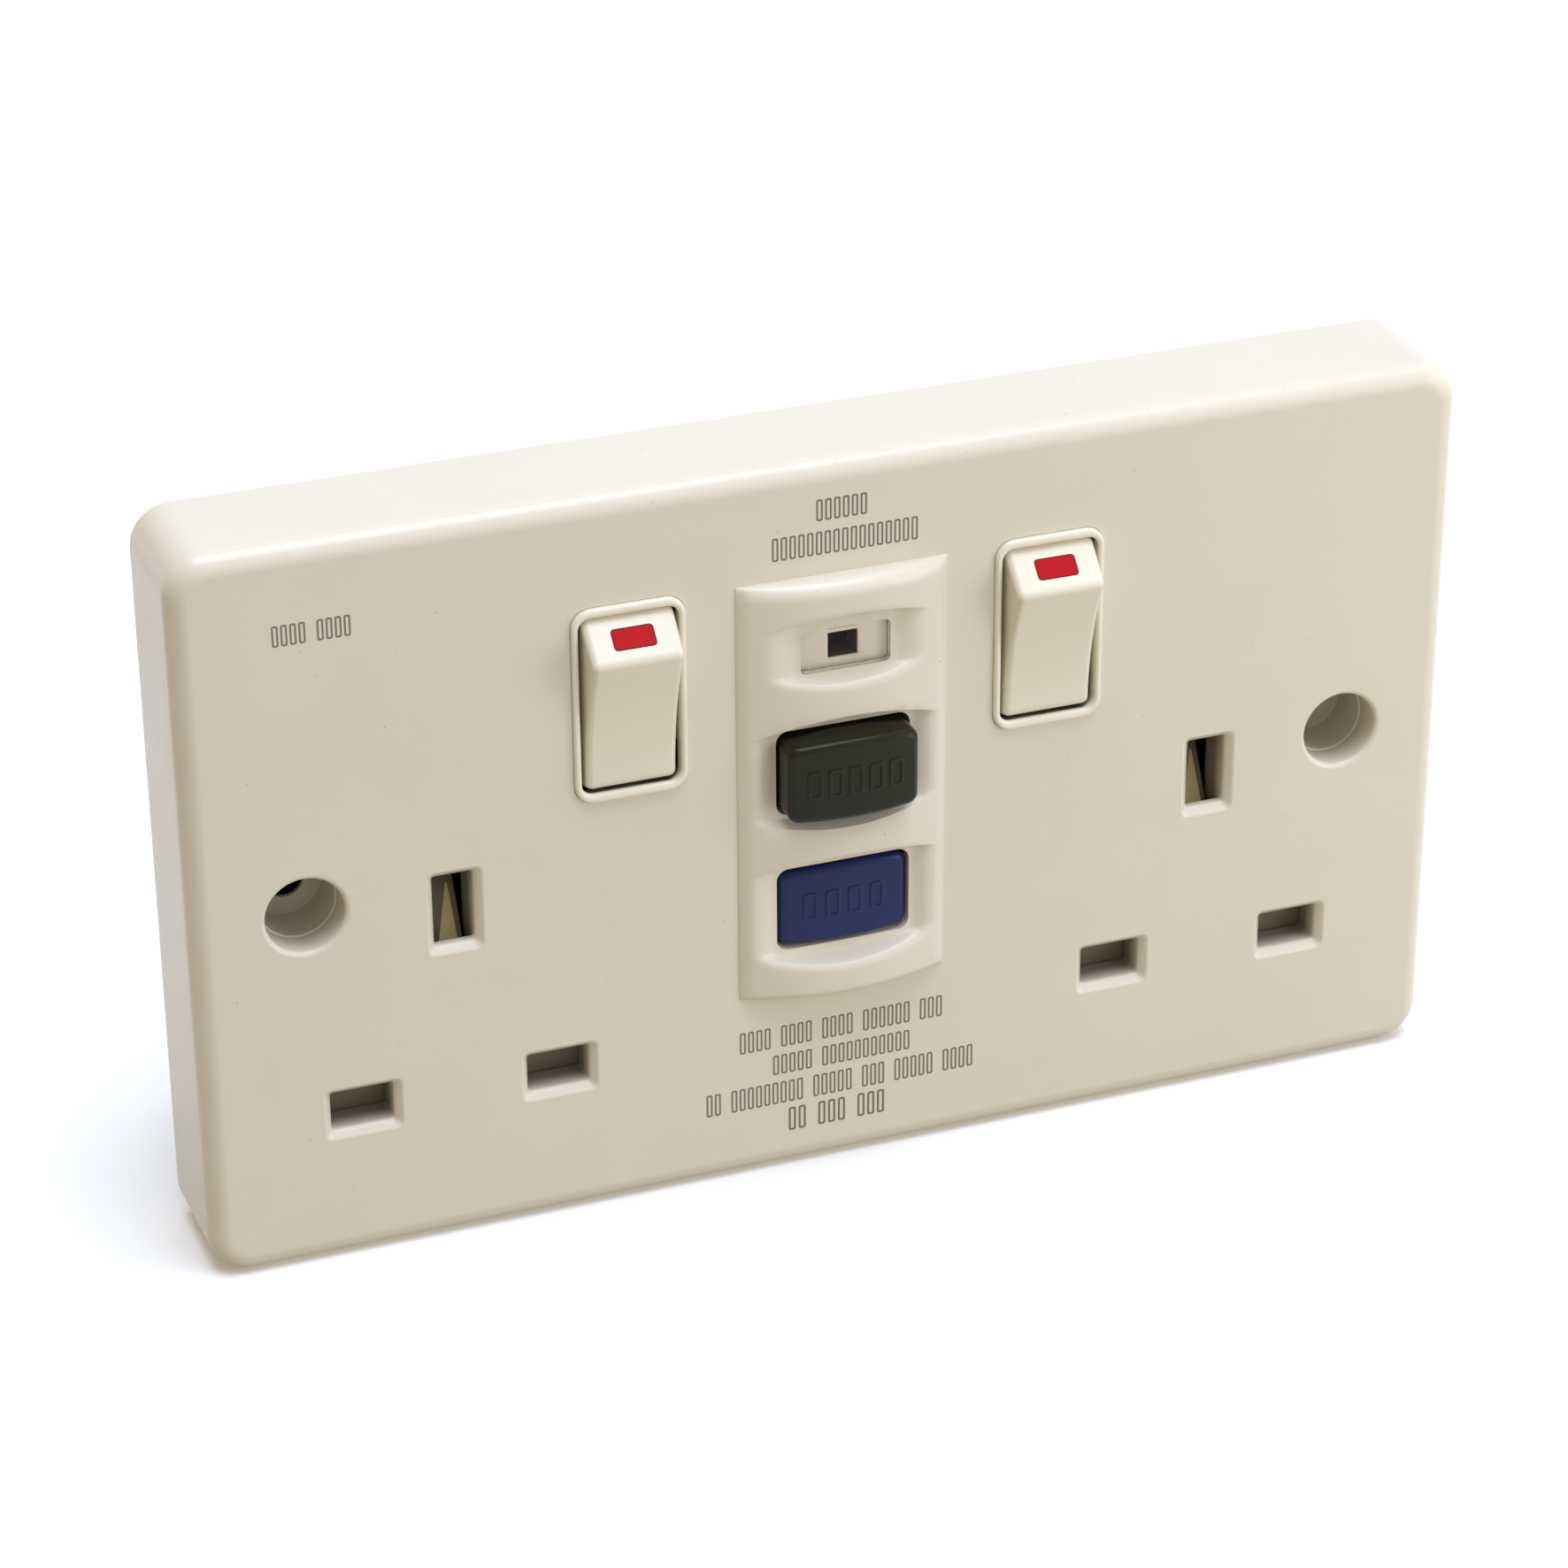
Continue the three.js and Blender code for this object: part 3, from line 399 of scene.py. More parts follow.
def tinted(colour, gain):
    return (*(min(1.0, channel * gain) for channel in colour[:3]), 1.0)


class Finish:
    """A material with helpers for the nodes that the finishes share."""

    def __init__(self, name):
        self.material = bpy.data.materials.new(name)
        self.material.use_nodes = True
        self.tree = self.material.node_tree
        self.shader = self.tree.nodes["Principled BSDF"]
        self.place = self.node("ShaderNodeTexCoord").outputs["Object"]

    def node(self, kind, **settings):
        made = self.tree.nodes.new(kind)
        for name, value in settings.items():
            if name in made.inputs:
                made.inputs[name].default_value = value
            else:
                setattr(made, name, value)
        return made

    def link(self, source, target):
        self.tree.links.new(source, target)

    def put(self, socket, value):
        """Gives a socket a value, or links it to another node's output."""
        if isinstance(value, bpy.types.NodeSocket):
            self.link(value, socket)
        else:
            socket.default_value = value

    def feed(self, name, value):
        self.put(self.shader.inputs[name], value)

    def stretched(self, scale):
        mapping = self.node("ShaderNodeMapping")
        mapping.inputs["Scale"].default_value = scale
        self.link(self.place, mapping.inputs["Vector"])
        return mapping.outputs["Vector"]

    def noise(self, size, detail=3.0, roughness=0.5, vector=None):
        """Noise whose features are about size millimetres across."""
        made = self.node("ShaderNodeTexNoise", Scale=1 / (size * MM), Detail=detail)
        made.inputs["Roughness"].default_value = roughness
        self.link(vector or self.place, made.inputs["Vector"])
        return made.outputs["Fac"]

    def ramp(self, factor, stops):
        made = self.node("ShaderNodeValToRGB")
        elements = made.color_ramp.elements
        while len(elements) < len(stops):
            elements.new(0.5)
        for element, (position, colour) in zip(elements, stops):
            element.position = position
            element.color = colour if len(colour) == 4 else (*colour, 1.0)
        self.link(factor, made.inputs["Fac"])
        return made.outputs["Color"]

    def span(self, factor, low, high, start=0.3, stop=0.7):
        """Maps noise to a range of numbers."""
        made = self.node("ShaderNodeMapRange")
        for name, value in (("From Min", start), ("From Max", stop), ("To Min", low), ("To Max", high)):
            made.inputs[name].default_value = value
        self.link(factor, made.inputs["Value"])
        return made.outputs["Result"]

    def mix(self, factor, first, second):
        made = self.node("ShaderNodeMix", data_type="RGBA")
        self.link(factor, made.inputs[0])
        self.put(made.inputs[6], first)
        self.put(made.inputs[7], second)
        return made.outputs[2]

    def bump(self, *layers):
        """Stacks bumps, each a (factor, depth in millimetres) pair."""
        last = None
        for factor, depth in layers:
            made = self.node("ShaderNodeBump", Strength=1.0, Distance=depth * MM)
            self.link(factor, made.inputs["Height"])
            if last:
                self.link(last, made.inputs["Normal"])
            last = made.outputs["Normal"]
        self.feed("Normal", last)


# where the painted shade inside the holes and wells reaches
WELLS_FROM = 49.5  # distance across plus height beyond which a recess is a fixing well
WELL_WEIGHT = 0.3
OUTER_BAND = 4  # the sides of the plate, which are no recess
SHADE_DEPTHS = (0.9, 3.2)  # depths where the painted shade on the hole walls starts and where it is full


def painted_recess_shade(finish, first_deep, last_deep):
    """Painted shade: zero on the outside, growing with depth in the pin holes and, more weakly, in the
    wells.
    """
    parts = finish.node("ShaderNodeSeparateXYZ")
    finish.link(finish.place, parts.inputs["Vector"])
    start, stop = (FRONT + first_deep) * MM, (FRONT + last_deep) * MM

    def math_node(operation, first, second):
        made = finish.node("ShaderNodeMath", operation=operation)
        finish.put(made.inputs[0], first)
        finish.put(made.inputs[1], second)
        return made.outputs[0]

    across = math_node("ABSOLUTE", parts.outputs["X"], 0.0)
    up = math_node("ABSOLUTE", parts.outputs["Z"], 0.0)
    mask = finish.span(parts.outputs["Y"], 0.0, 1.0, start, stop)
    for value, reach in ((across, HALF_W - OUTER_BAND), (up, HALF_H - OUTER_BAND)):
        mask = math_node("MULTIPLY", mask, math_node("LESS_THAN", value, reach * MM))
    outward = math_node("ADD", across, parts.outputs["Z"])
    in_pin_hole = math_node("LESS_THAN", outward, WELLS_FROM * MM)
    return math_node("MULTIPLY", mask, finish.span(in_pin_hole, WELL_WEIGHT, 1.0, 0.0, 1.0))


def plastic(name, colour, rough=0.3, mottle=0.03, grain=0.0015, specks=None, shine=0.5, inside=None):
    """Moulded plastic: faint flow mottling, uneven gloss, fine ripple, optional specks.

    The colour inside, if given, is painted shade that darkens the walls deep in the holes.
    """
    finish = Finish(name)
    colour = linear(*colour)
    flow = finish.noise(14, 4.0, 0.55)
    shade = finish.ramp(flow, [(0.3, tinted(colour, 1 - mottle)), (0.7, tinted(colour, 1 + mottle))])
    if specks:
        dots = finish.noise(0.5, 1.0, 0.3)
        where = finish.span(dots, 0.0, 0.5, 0.79, 0.81)
        shade = finish.mix(where, shade, linear(*specks))
    # painted shade on the walls deep in the holes and wells
    if inside:
        shade = finish.mix(painted_recess_shade(finish, *SHADE_DEPTHS), shade, linear(*inside))
    finish.feed("Base Color", shade)
    wear = finish.noise(9, 2.0, 0.4)
    finish.feed("Roughness", finish.span(wear, rough * 0.92, rough * 1.12))
    finish.bump((finish.noise(0.35, 2.0), grain), (finish.noise(4.5, 2.0), grain * 4))
    finish.feed("Specular IOR Level", shine)
    return finish.material


def metal(name, colour, rough=0.3, tarnish=0.75, brushed=(1, 1, 8), scratch=0.002):
    """Pressed or turned metal: fine drawing lines, patches of tarnish and handling marks."""
    finish = Finish(name)
    colour = linear(*colour)
    patches = finish.noise(3.5, 5.0, 0.62)
    shade = finish.ramp(patches, [(0.32, tinted(colour, tarnish)), (0.66, colour)])
    finish.feed("Base Color", shade)
    finish.feed("Metallic", 1.0)
    lines = finish.noise(0.5, 4.0, 0.7, finish.stretched(brushed))
    finish.feed("Roughness", finish.span(lines, rough * 0.7, rough * 1.4))
    finish.bump((lines, scratch))
    return finish.material


def clear_plastic(name):
    finish = Finish(name)
    haze = finish.noise(2.5, 3.0)
    shade = finish.ramp(haze, [(0.35, linear(250, 246, 238)), (0.65, linear(255, 252, 246))])
    finish.feed("Base Color", shade)
    finish.feed("Roughness", finish.span(haze, 0.03, 0.09))
    finish.feed("Transmission Weight", 1.0)
    finish.feed("IOR", 1.14)
    finish.feed("Specular IOR Level", 0.15)
    finish.bump((finish.noise(3.0, 2.0), 0.002))
    return finish.material


def board_laminate(name):
    """Solder mask over routed tracks, with pale legend blocks left out."""
    finish = Finish(name)
    tracks = finish.node("ShaderNodeTexBrick", Scale=1 / (7 * MM))
    tracks.inputs["Mortar Size"].default_value = 0.03
    tracks.inputs["Color1"].default_value = linear(28, 84, 44)
    tracks.inputs["Color2"].default_value = linear(34, 96, 52)
    tracks.inputs["Mortar"].default_value = linear(66, 130, 66)
    turned = finish.node("ShaderNodeMapping")
    turned.inputs["Rotation"].default_value = (math.radians(90), 0, 0)
    finish.link(finish.place, turned.inputs["Vector"])
    finish.link(turned.outputs["Vector"], tracks.inputs["Vector"])
    weave = finish.noise(0.6, 2.0)
    shade = finish.mix(finish.span(weave, 0.0, 0.35), tracks.outputs["Color"], linear(20, 60, 34))
    finish.feed("Base Color", shade)
    finish.feed("Roughness", finish.span(weave, 0.3, 0.5))
    finish.bump((tracks.outputs["Fac"], 0.03))
    return finish.material


def flag_plastic(name, change_z):
    """Black above a level and red below it, as the indicator flag is moulded."""
    finish = Finish(name)
    parts = finish.node("ShaderNodeSeparateXYZ")
    finish.link(finish.place, parts.inputs["Vector"])
    level = finish.span(parts.outputs["Z"], 0.0, 1.0, (change_z - 0.02) * MM, (change_z + 0.02) * MM)
    flow = finish.noise(2, 3.0)
    black = finish.ramp(flow, [(0.3, linear(54, 44, 38)), (0.7, linear(66, 54, 48))])
    red = finish.ramp(flow, [(0.3, linear(176, 28, 34)), (0.7, linear(196, 38, 42))])
    finish.feed("Base Color", finish.mix(level, red, black))
    finish.feed("Roughness", finish.span(flow, 0.4, 0.55))
    finish.feed("Specular IOR Level", 0.05)
    finish.bump((finish.noise(0.3, 2.0), 0.002))
    return finish.material


SPECK = (150, 138, 120)
# painted shade: the darker colour the plate takes deep in its holes and wells
HOLE_PAINTED_SHADE = (146, 136, 125)
PLATE = plastic("plate_urea", (223, 215, 197), 0.24, 0.012, 0.0006, SPECK, 0.35, HOLE_PAINTED_SHADE)
BEZEL = plastic("bezel_urea", (238, 230, 212), 0.26, 0.012, 0.0006)
ROCKER = plastic("rocker_urea", (230, 223, 203), 0.3, 0.014, 0.0008)
GREY = plastic("housing_polyamide", (196, 197, 194), 0.5, 0.035, 0.004, (140, 140, 138))
SHUTTER = plastic("shutter_polyamide", (124, 108, 88), 0.42, 0.06, 0.002)
# painted light: the pale tan stands for light falling on the shutter's ramp in the earth hole
SHUTTER_LIGHT_PATCH = plastic("shutter_painted_light_tan", (226, 206, 146), 0.4, 0.03, 0.002)
DARK = plastic("dark_polyamide", (44, 44, 40), 0.45, 0.08, 0.003)
SURROUND = plastic("surround_urea", (214, 205, 192), 0.4, 0.015, 0.001)
# painted shade: the dark sleeve in the window's aperture stands for shade on its walls
APERTURE_SHADE = plastic("painted_aperture_shade", (84, 68, 60), 0.6, 0.08, 0.003, None, 0.05)
GREEN = plastic("reset_plastic", (34, 34, 17), 0.24, 0.06, 0.0008, (80, 84, 66), 0.17)
BLUE = plastic("test_plastic", (28, 38, 88), 0.24, 0.05, 0.0008, (84, 92, 130), 0.2)
RED_INK = plastic("red_ink", (180, 10, 18), 0.42, 0.03, 0.0006, None, 0.12)
RED_LINE = plastic("red_line", (92, 14, 20), 0.4, 0.05, 0.0006, None, 0.12)
PRINT = plastic("grey_ink", (118, 104, 88), 0.5, 0.12, 0.0006)
SLEEVE = plastic("capacitor_sleeve", (38, 52, 110), 0.35, 0.05, 0.001)
FERRITE = plastic("toroid_tape", (92, 100, 92), 0.55, 0.06, 0.004)
LENS = clear_plastic("lens_acrylic")
BRASS = metal("brass_pressing", (202, 170, 104), 0.3, 0.72, (1, 1, 6))
COPPER = metal("copper_strip", (200, 126, 88), 0.32, 0.7, (1, 1, 6))
ENAMEL = metal("enamelled_wire", (176, 88, 44), 0.3, 0.8, (6, 1, 1))
STEEL = metal("zinc_steel", (186, 188, 190), 0.34, 0.78, (5, 1, 1))
BOARD = board_laminate("board_laminate")


# ---- front plate --------------------------------------------------------------------------
def plate_outline(deep, inset=0.0):
    """The plate's outline at a depth behind the front plane, drawn in by inset."""
    lean = DRAFT * (1 - deep / -FRONT)
    w = 2 * (HALF_W - lean - inset)
    h = 2 * (HALF_H - lean - inset)
    return rounded_rect(0, 0, w, h, CORNER_R - inset, 10)


def crown_top(x):
    """Height of the raised panel, an arc with rounded long sides."""
    arc = CROWN_RISE - CROWN_FALL * x * x
    share = min(1.0, (CROWN_HALF - abs(x)) / CROWN_SIDE_ROUND)
    return arc * math.sqrt(max(0.0, 1 - (1 - share) ** 2))


def crown_columns():
    """Distances across the panel, closest together where its height changes fastest."""
    near_side = [0, 0.03, 0.1, 0.22, 0.4, 0.65, 1.0]
    marks = [CROWN_HALF - step * CROWN_SIDE_ROUND for step in near_side]
    for pocket in POCKETS:
        marks.extend(pocket["half_w"] - pocket["end"] * step / 10 for step in range(11))
    marks.extend(0.68 * i for i in range(10))
    kept = sorted({round(mark, 4) for mark in marks})
    return [-x for x in reversed(kept) if x > 0] + kept


def pocket_edge(pocket, up, x):
    end, bow = ("high", "high_bow") if up > 0 else ("low", "low_bow")
    return pocket[end] + up * pocket[bow] * (1 - min(1.0, abs(x) / pocket["half_w"]) ** 2)


def pocket_share(pocket, x):
    """How much of the pocket's depth is reached this near its end."""
    share = min(1.0, max(0.0, (pocket["half_w"] - abs(x)) / pocket["end"] + 1e-4))
    return share * share * (3 - 2 * share)


def crown_grid(columns):
    """Rows of (x, z, height) up the panel, and the rows that bound each pocket's floor."""
    rows = []

    def end_row(edge, up, share, foot=False):
        row = []
        end_r = CROWN_END_ROUND[up]
        for x in columns:
            top = crown_top(x)
            drop = min(end_r, 0.9 * top) * (1 - math.sqrt(1 - (1 - share) ** 2))
            row.append((x, edge - up * share * end_r, 0.0 if foot else top - drop))
        return row

    def pocket_row(pocket, up, offset, share):
        row = []
        for x in columns:
            top = crown_top(x)
            depth = max(0.0, top - pocket["floor"]) * share * pocket_share(pocket, x)
            row.append((x, pocket_edge(pocket, up, x) - up * offset, top - depth))
        return row

    def between(first, last, count, height):
        for step in range(1, count):
            t = step / count
            row = []
            for (x, z0, _), (_, z1, _) in zip(first, last):
                row.append((x, z0 + (z1 - z0) * t, height(x)))
            rows.append(row)

    end_shares = [0, 0.02, 0.06, 0.13, 0.22, 0.34, 0.48, 0.64, 0.81, 1.0]
    low_wall = ((-1.0, 0.0), (-0.7, 0.012), (-0.42, 0.04), (-0.17, 0.1), (0.04, 0.19))
    rows.append(end_row(CROWN_BOTTOM, -1, 0, foot=True))
    rows.extend(end_row(CROWN_BOTTOM, -1, share) for share in end_shares)
    floors = []
    for pocket in POCKETS:
        wall = pocket["wall"]
        low = [(share * pocket["soft"], deep) for share, deep in low_wall]
        low += [(0.26 * wall, 0.34), (0.5 * wall, 0.6), (0.75 * wall, 0.84)]
        low += [(0.92 * wall, 0.96), (wall + 0.1, 1.0)]
        high = [(-0.25, 0.0), (-0.12, 0.03), (-0.03, 0.15), (0.0, 0.3), (0.02, 0.85), (0.15, 1.0)]
        low_rows = [pocket_row(pocket, -1, *step) for step in low]
        high_rows = [pocket_row(pocket, 1, *step) for step in reversed(high)]
        between(rows[-1], low_rows[0], 4, crown_top)
        rows.extend(low_rows)
        first_floor = len(rows) - 1
        between(low_rows[-1], high_rows[0], 9, lambda x, p=pocket: pocket_height(p, x))
        floors.append((pocket, first_floor, len(rows)))
        rows.extend(high_rows)
    top_rows = [end_row(CROWN_TOP, 1, share) for share in reversed(end_shares)]
    between(rows[-1], top_rows[0], 4, crown_top)
    rows.extend(top_rows)
    rows.append(end_row(CROWN_TOP, 1, 0, foot=True))
    return rows, floors


def pocket_height(pocket, x):
    top = crown_top(x)
    return top - max(0.0, top - pocket["floor"]) * pocket_share(pocket, x)


def hole_round(z, w, h, r, gap):
    return rounded_rect(0, z, w + 2 * gap, h + 2 * gap, r + gap)


RESET = middle("reset_button")
TEST = middle("test_button")
WINDOW_LOW, WINDOW_HIGH = box_mm("indicator_window")
WINDOW = (WINDOW_LOW + WINDOW_HIGH) / 2
WINDOW_W = WINDOW_HIGH.x - WINDOW_LOW.x
WINDOW_H = WINDOW_HIGH.z - WINDOW_LOW.z
BUTTON_R = 1.1
WINDOW_R = 0.5
HOLES_IN_POCKETS = (
    hole_round(TEST.z, BUTTON_W, BUTTON_H, BUTTON_R, BUTTON_GAP),
    hole_round(RESET.z, BUTTON_W, BUTTON_H, BUTTON_R, BUTTON_GAP),
    hole_round(WINDOW.z, WINDOW_W, WINDOW_H, WINDOW_R, WINDOW_GAP),
)
INNER_Y = FRONT + INNER_DEEP
CORE_Y = FRONT + CROWN_CORE


def crown_panel(surface):
    """Adds the raised panel and returns the outline of its foot."""
    columns = crown_columns()
    rows, floors = crown_grid(columns)
    skipped = set()
    count = len(columns)
    for (pocket, first, last), hole in zip(floors, HOLES_IN_POCKETS):
        flat = [i for i, x in enumerate(columns) if pocket_share(pocket, x) > 0.9999]
        left, right = flat[0], flat[-1]
        skipped |= {(row, column) for row in range(first, last) for column in range(left, right)}
        edge = [rows[first][i] for i in range(left, right + 1)]
        edge += [rows[row][right] for row in range(first + 1, last)]
        edge += [rows[last][i] for i in range(right, left - 1, -1)]
        edge += [rows[row][left] for row in range(last - 1, first, -1)]
        surface.fill([(x, z) for x, z, _ in edge], [hole], FRONT - pocket["floor"])
        surface.loft([at_height(hole, pocket["floor"]), at_y(hole, CORE_Y)])
    start = len(surface.points)
    for row in rows:
        surface.points.extend((x, FRONT - height, z) for x, z, height in row)
    for row in range(len(rows) - 1):
        for column in range(count - 1):
            if (row, column) not in skipped:
                a = start + row * count + column
                surface.faces.append((a, a + 1, a + 1 + count, a + count))
    foot = [(x, z) for x, z, _ in rows[0]]  # round the panel, from its lower left corner
    foot += [(row[-1][0], row[-1][1]) for row in rows[1:]]
    foot += [(x, z) for x, z, _ in reversed(rows[-1][:-1])]
    foot += [(row[0][0], row[0][1]) for row in reversed(rows[1:-1])]
    return foot


def mouth(x, z, size):
    """Outlines of a pin hole's moulded lead-in, from the front plane in to the hole."""
    steps = ((1.0, 0.0), (0.86, 0.03), (0.72, 0.12), (0.42, 0.42), (0.16, 0.72), (0.05, 0.9), (0.0, 1.1))
    loops = []
    for out, deep in steps:
        outline = rounded_rect(x, z, size[0] + 2 * out, size[1] + 2 * out, HOLE_CORNER + 0.6 * out, 4)
        loops.append(at_height(outline, -deep))
    return loops


class Moulding:
    """The plate's surface, with the outlines of the holes in its front and of what stands behind."""

    def __init__(self):
        self.surface = Surface()
        self.front_holes = [without_repeats(crown_panel(self.surface))]
        self.back_holes = []

    def fixing_well(self, side):
        """A well in the front, with its column behind."""
        x, z = opening(f"fixing_well_{side}")
        loops = []
        for step in range(6):
            angle = math.radians(90 * step / 5)
            r = WELL_R + WELL_ROUND * (1 - math.sin(angle))
            loops.append(at_height(circle(x, z, r), -WELL_ROUND * (1 - math.cos(angle))))
        self.front_holes.append(circle(x, z, WELL_R + WELL_ROUND))
        steps = (
            (WELL_R - 0.03, WELL_STEP),
            (WELL_R - 0.17, WELL_STEP + 0.1),
            (WELL_R - 0.2, WELL_DEEP - 0.2),
        )
        loops += [at_height(circle(x, z, r), -deep) for r, deep in steps]
        loops += [at_height(circle(x, z, r), -WELL_DEEP) for r in (WELL_R - 0.4, SCREW_HOLE_R)]
        loops += [at_y(circle(x, z, r), COLUMN_END) for r in (SCREW_HOLE_R, COLUMN_R)]
        loops.append(at_y(circle(x, z, COLUMN_R), INNER_Y))
        self.surface.loft(loops)
        self.back_holes.append(circle(x, z, COLUMN_R))

    def pin_hole(self, name):
        """A live or neutral hole with its collar behind."""
        x, z = opening(name)
        loops = mouth(x, z, LN_HOLE)
        self.front_holes.append(outline_of(loops[0]))
        w, h = LN_HOLE
        loops.append(at_y(rounded_rect(x, z, w, h, HOLE_CORNER, 4), COLLAR_END))
        outline = rounded_rect(x, z, w + 2 * COLLAR_WALL, h + 2 * COLLAR_WALL, HOLE_CORNER, 4)
        loops += [at_y(outline, COLLAR_END), at_y(outline, INNER_Y)]
        self.surface.loft(loops)
        self.back_holes.append(outline)

    def earth_hole(self, side):
        """An earth hole, opening behind into the channel of the shutter's ramp."""
        x, z = opening(f"earth_hole_{side}")
        loops = mouth(x, z, EARTH_HOLE)
        self.front_holes.append(outline_of(loops[0]))
        w, h = EARTH_HOLE
        hole = rounded_rect(x, z, w, h, HOLE_CORNER, 4)
        loops.append(at_y(hole, CHANNEL["front"]))
        self.surface.loft(loops)
        left, right, top = x - w / 2 - 0.02, x + w / 2 + 0.02, z + h / 2 + 0.02
        bottom, cut_z = CHANNEL["bottom"], CHANNEL["cut"]
        channel = [(left, cut_z), (right, cut_z), (right, bottom)]
        channel += [(right, top), (left, top), (left, bottom)]
        self.surface.fill(channel, [hole], CHANNEL["front"])
        wide_left, wide_right, wide_top = left - COLLAR_WALL, right + COLLAR_WALL, top + COLLAR_WALL
        end = CHANNEL["back"]
        floor = at_y(channel, CHANNEL["front"])
        floor = floor[:3] + [floor[2]] + floor[3:5] + [floor[5], floor[5]]
        low = at_y(channel[:3], INNER_Y)
        rim = low + [(right, end, bottom), (right, end, top), (left, end, top), (left, end, bottom)]
        rim.append((left, INNER_Y, bottom))
        wide = [(wide_right, bottom), (wide_right, wide_top), (wide_left, wide_top), (wide_left, bottom)]
        outer = low + at_y(wide, end) + [rim[-1]]
        base = low + at_y(wide, INNER_Y) + [rim[-1]]
        self.surface.loft([floor, rim, outer, base])
        self.back_holes.append(outline_of(base))

    def switch_opening(self, side):
        centre = middle(f"switch_frame_{side}")
        w, h = RING_W + 2 * RING_GAP, RING_H + 2 * RING_GAP
        edge = 0.06
        hole = rounded_rect(centre.x, centre.z, w, h, RING_R, 8)
        wider = rounded_rect(centre.x, centre.z, w + 2 * edge, h + 2 * edge, RING_R + edge, 8)
        self.front_holes.append(wider)
        self.surface.loft([at_height(wider, 0), at_height(hole, -edge), at_y(hole, INNER_Y)])
        self.back_holes.append(hole)

    def shutter_guides(self, side):
        """Ribs that guide the shutter, and the seat of its spring."""
        x = opening(f"earth_hole_{side}")[0]
        blocks = [(x + rib * RIB_OUT, RIB_Z, *RIB_SIZE, RIB_END) for rib in (-1, 1)]
        blocks.append((x, SEAT_Z, *SEAT_SIZE, SEAT_END))
        for block_x, block_z, w, h, end in blocks:
            outline = rounded_rect(block_x, block_z, w, h, 0.2, 2)
            tip = rounded_rect(block_x, block_z, w - 0.1, h - 0.1, 0.15, 2)
            self.surface.loft([at_y(outline, INNER_Y), at_y(tip, end)])
            self.surface.cap(at_y(tip, end))
            self.back_holes.append(outline)

    def boss(self, screw):
        """One of the bosses that the housing is screwed to."""
        end = box_mm("rear_housing")[0].y - 0.3
        outline, tip, bore = (circle(screw.x, screw.z, r, 32) for r in (BOSS_R, BOSS_TIP_R, BOSS_BORE_R))
        loops = [at_y(outline, INNER_Y), at_y(tip, end), at_y(bore, end), at_y(bore, INNER_Y + 0.5)]
        self.surface.loft(loops)
        self.surface.cap(loops[-1])
        self.back_holes.append(outline)

    def shell(self):
        """The front plane, the sides, the rim and the inside."""
        loops = []
        for step in range(9):
            angle = math.radians(90 * step / 8)
            deep = EDGE_R * (1 - math.cos(angle))
            loops.append(at_height(plate_outline(deep, EDGE_R * (1 - math.sin(angle))), -deep))
        self.surface.fill(outline_of(loops[0]), self.front_holes, FRONT)
        for y in (-9, -6, -3):
            loops.append(at_y(plate_outline(y - FRONT), y))
        for step in range(4):
            angle = math.radians(90 * step / 3)
            y = -RIM_R * (1 - math.sin(angle))
            loops.append(at_y(plate_outline(y - FRONT, RIM_R * (1 - math.cos(angle))), y))
        inner_steps = (
            (0, WALL - 0.2),
            (-0.2, WALL),
            (INNER_Y + 1.0, WALL + 0.1),
            (INNER_Y + 0.3, WALL + 0.3),
        )
        for y, inset in inner_steps:
            loops.append(at_y(plate_outline(-FRONT, inset), y))
        inner = plate_outline(-FRONT, WALL + 1.0)
        loops.append(at_y(inner, INNER_Y))
        self.surface.loft(loops)
        core_h = CROWN_TOP - CROWN_BOTTOM - 4
        core = rounded_rect(0, (CROWN_TOP + CROWN_BOTTOM) / 2, CORE_W, core_h, 0.5, 3)
        self.back_holes.append(core)
        self.surface.loft([at_y(core, INNER_Y), at_y(core, CORE_Y)])
        self.surface.fill(core, HOLES_IN_POCKETS, CORE_Y)
        self.surface.fill(inner, self.back_holes, INNER_Y)


def plate():
    moulding = Moulding()
    for side in SIDES:
        moulding.fixing_well(side)
        for pole in ("live", "neutral"):
            moulding.pin_hole(f"{pole}_hole_{side}")
        moulding.earth_hole(side)
        moulding.switch_opening(side)
        moulding.shutter_guides(side)
    for index in range(4):
        moulding.boss(middle(f"housing_screw_{index + 1}"))
    moulding.shell()
    return moulding.surface.piece("plate_moulding")


place(smooth(plate()), "housing", PLATE, "plate_plastic", "front_plate")


# ---- switches -----------------------------------------------------------------------------
def ring(side):
    """The paler frame round a rocker, softly rounded, with cheeks that carry the pivots."""
    centre = middle(f"switch_frame_{side}")
    profile = (
        (0.0, -1.0), (0.0, 0.15), (0.03, 0.3), (0.1, 0.44), (0.22, 0.54), (0.38, 0.58),
        (0.58, 0.58), (0.75, 0.54), (0.88, 0.45), (0.96, 0.32), (1.0, 0.16), (1.0, -0.1),
    )
    loops = []
    for share, height in profile:
        w = RING_W + (RING_IN_W - RING_W) * share
        h = RING_H + (RING_IN_H - RING_H) * share
        r = RING_R + (RING_IN_R - RING_R) * share
        loops.append(at_height(rounded_rect(centre.x, centre.z, w, h, r, 8), height))
    undercut = rounded_rect(centre.x, centre.z, RING_IN_W, RING_IN_H + 0.8, RING_IN_R, 8)
    loops.append(at_height(undercut, -1.0))
    loops.append(loops[0])
    bezel = lofted(f"switch_bezel_{side}", loops)
    pivot = joint_place(f"rocker_{side}_pivot")
    for cheek in (-1, 1):
        x = centre.x + cheek * CHEEK_OUT
        outline = rounded_rect(pivot.y - CHEEK_BACK, pivot.z, *CHEEK_SIZE, 0.6, 3)
        block = prism(outline, "x", x - 0.4, x + 0.4, "cheek")
        bore = prism(circle(pivot.y, pivot.z, 1.4, 24), "x", x - 1, x + 1, "bore")
        combined(bezel, combined(block, bore, "DIFFERENCE"), "UNION")
    return bezel


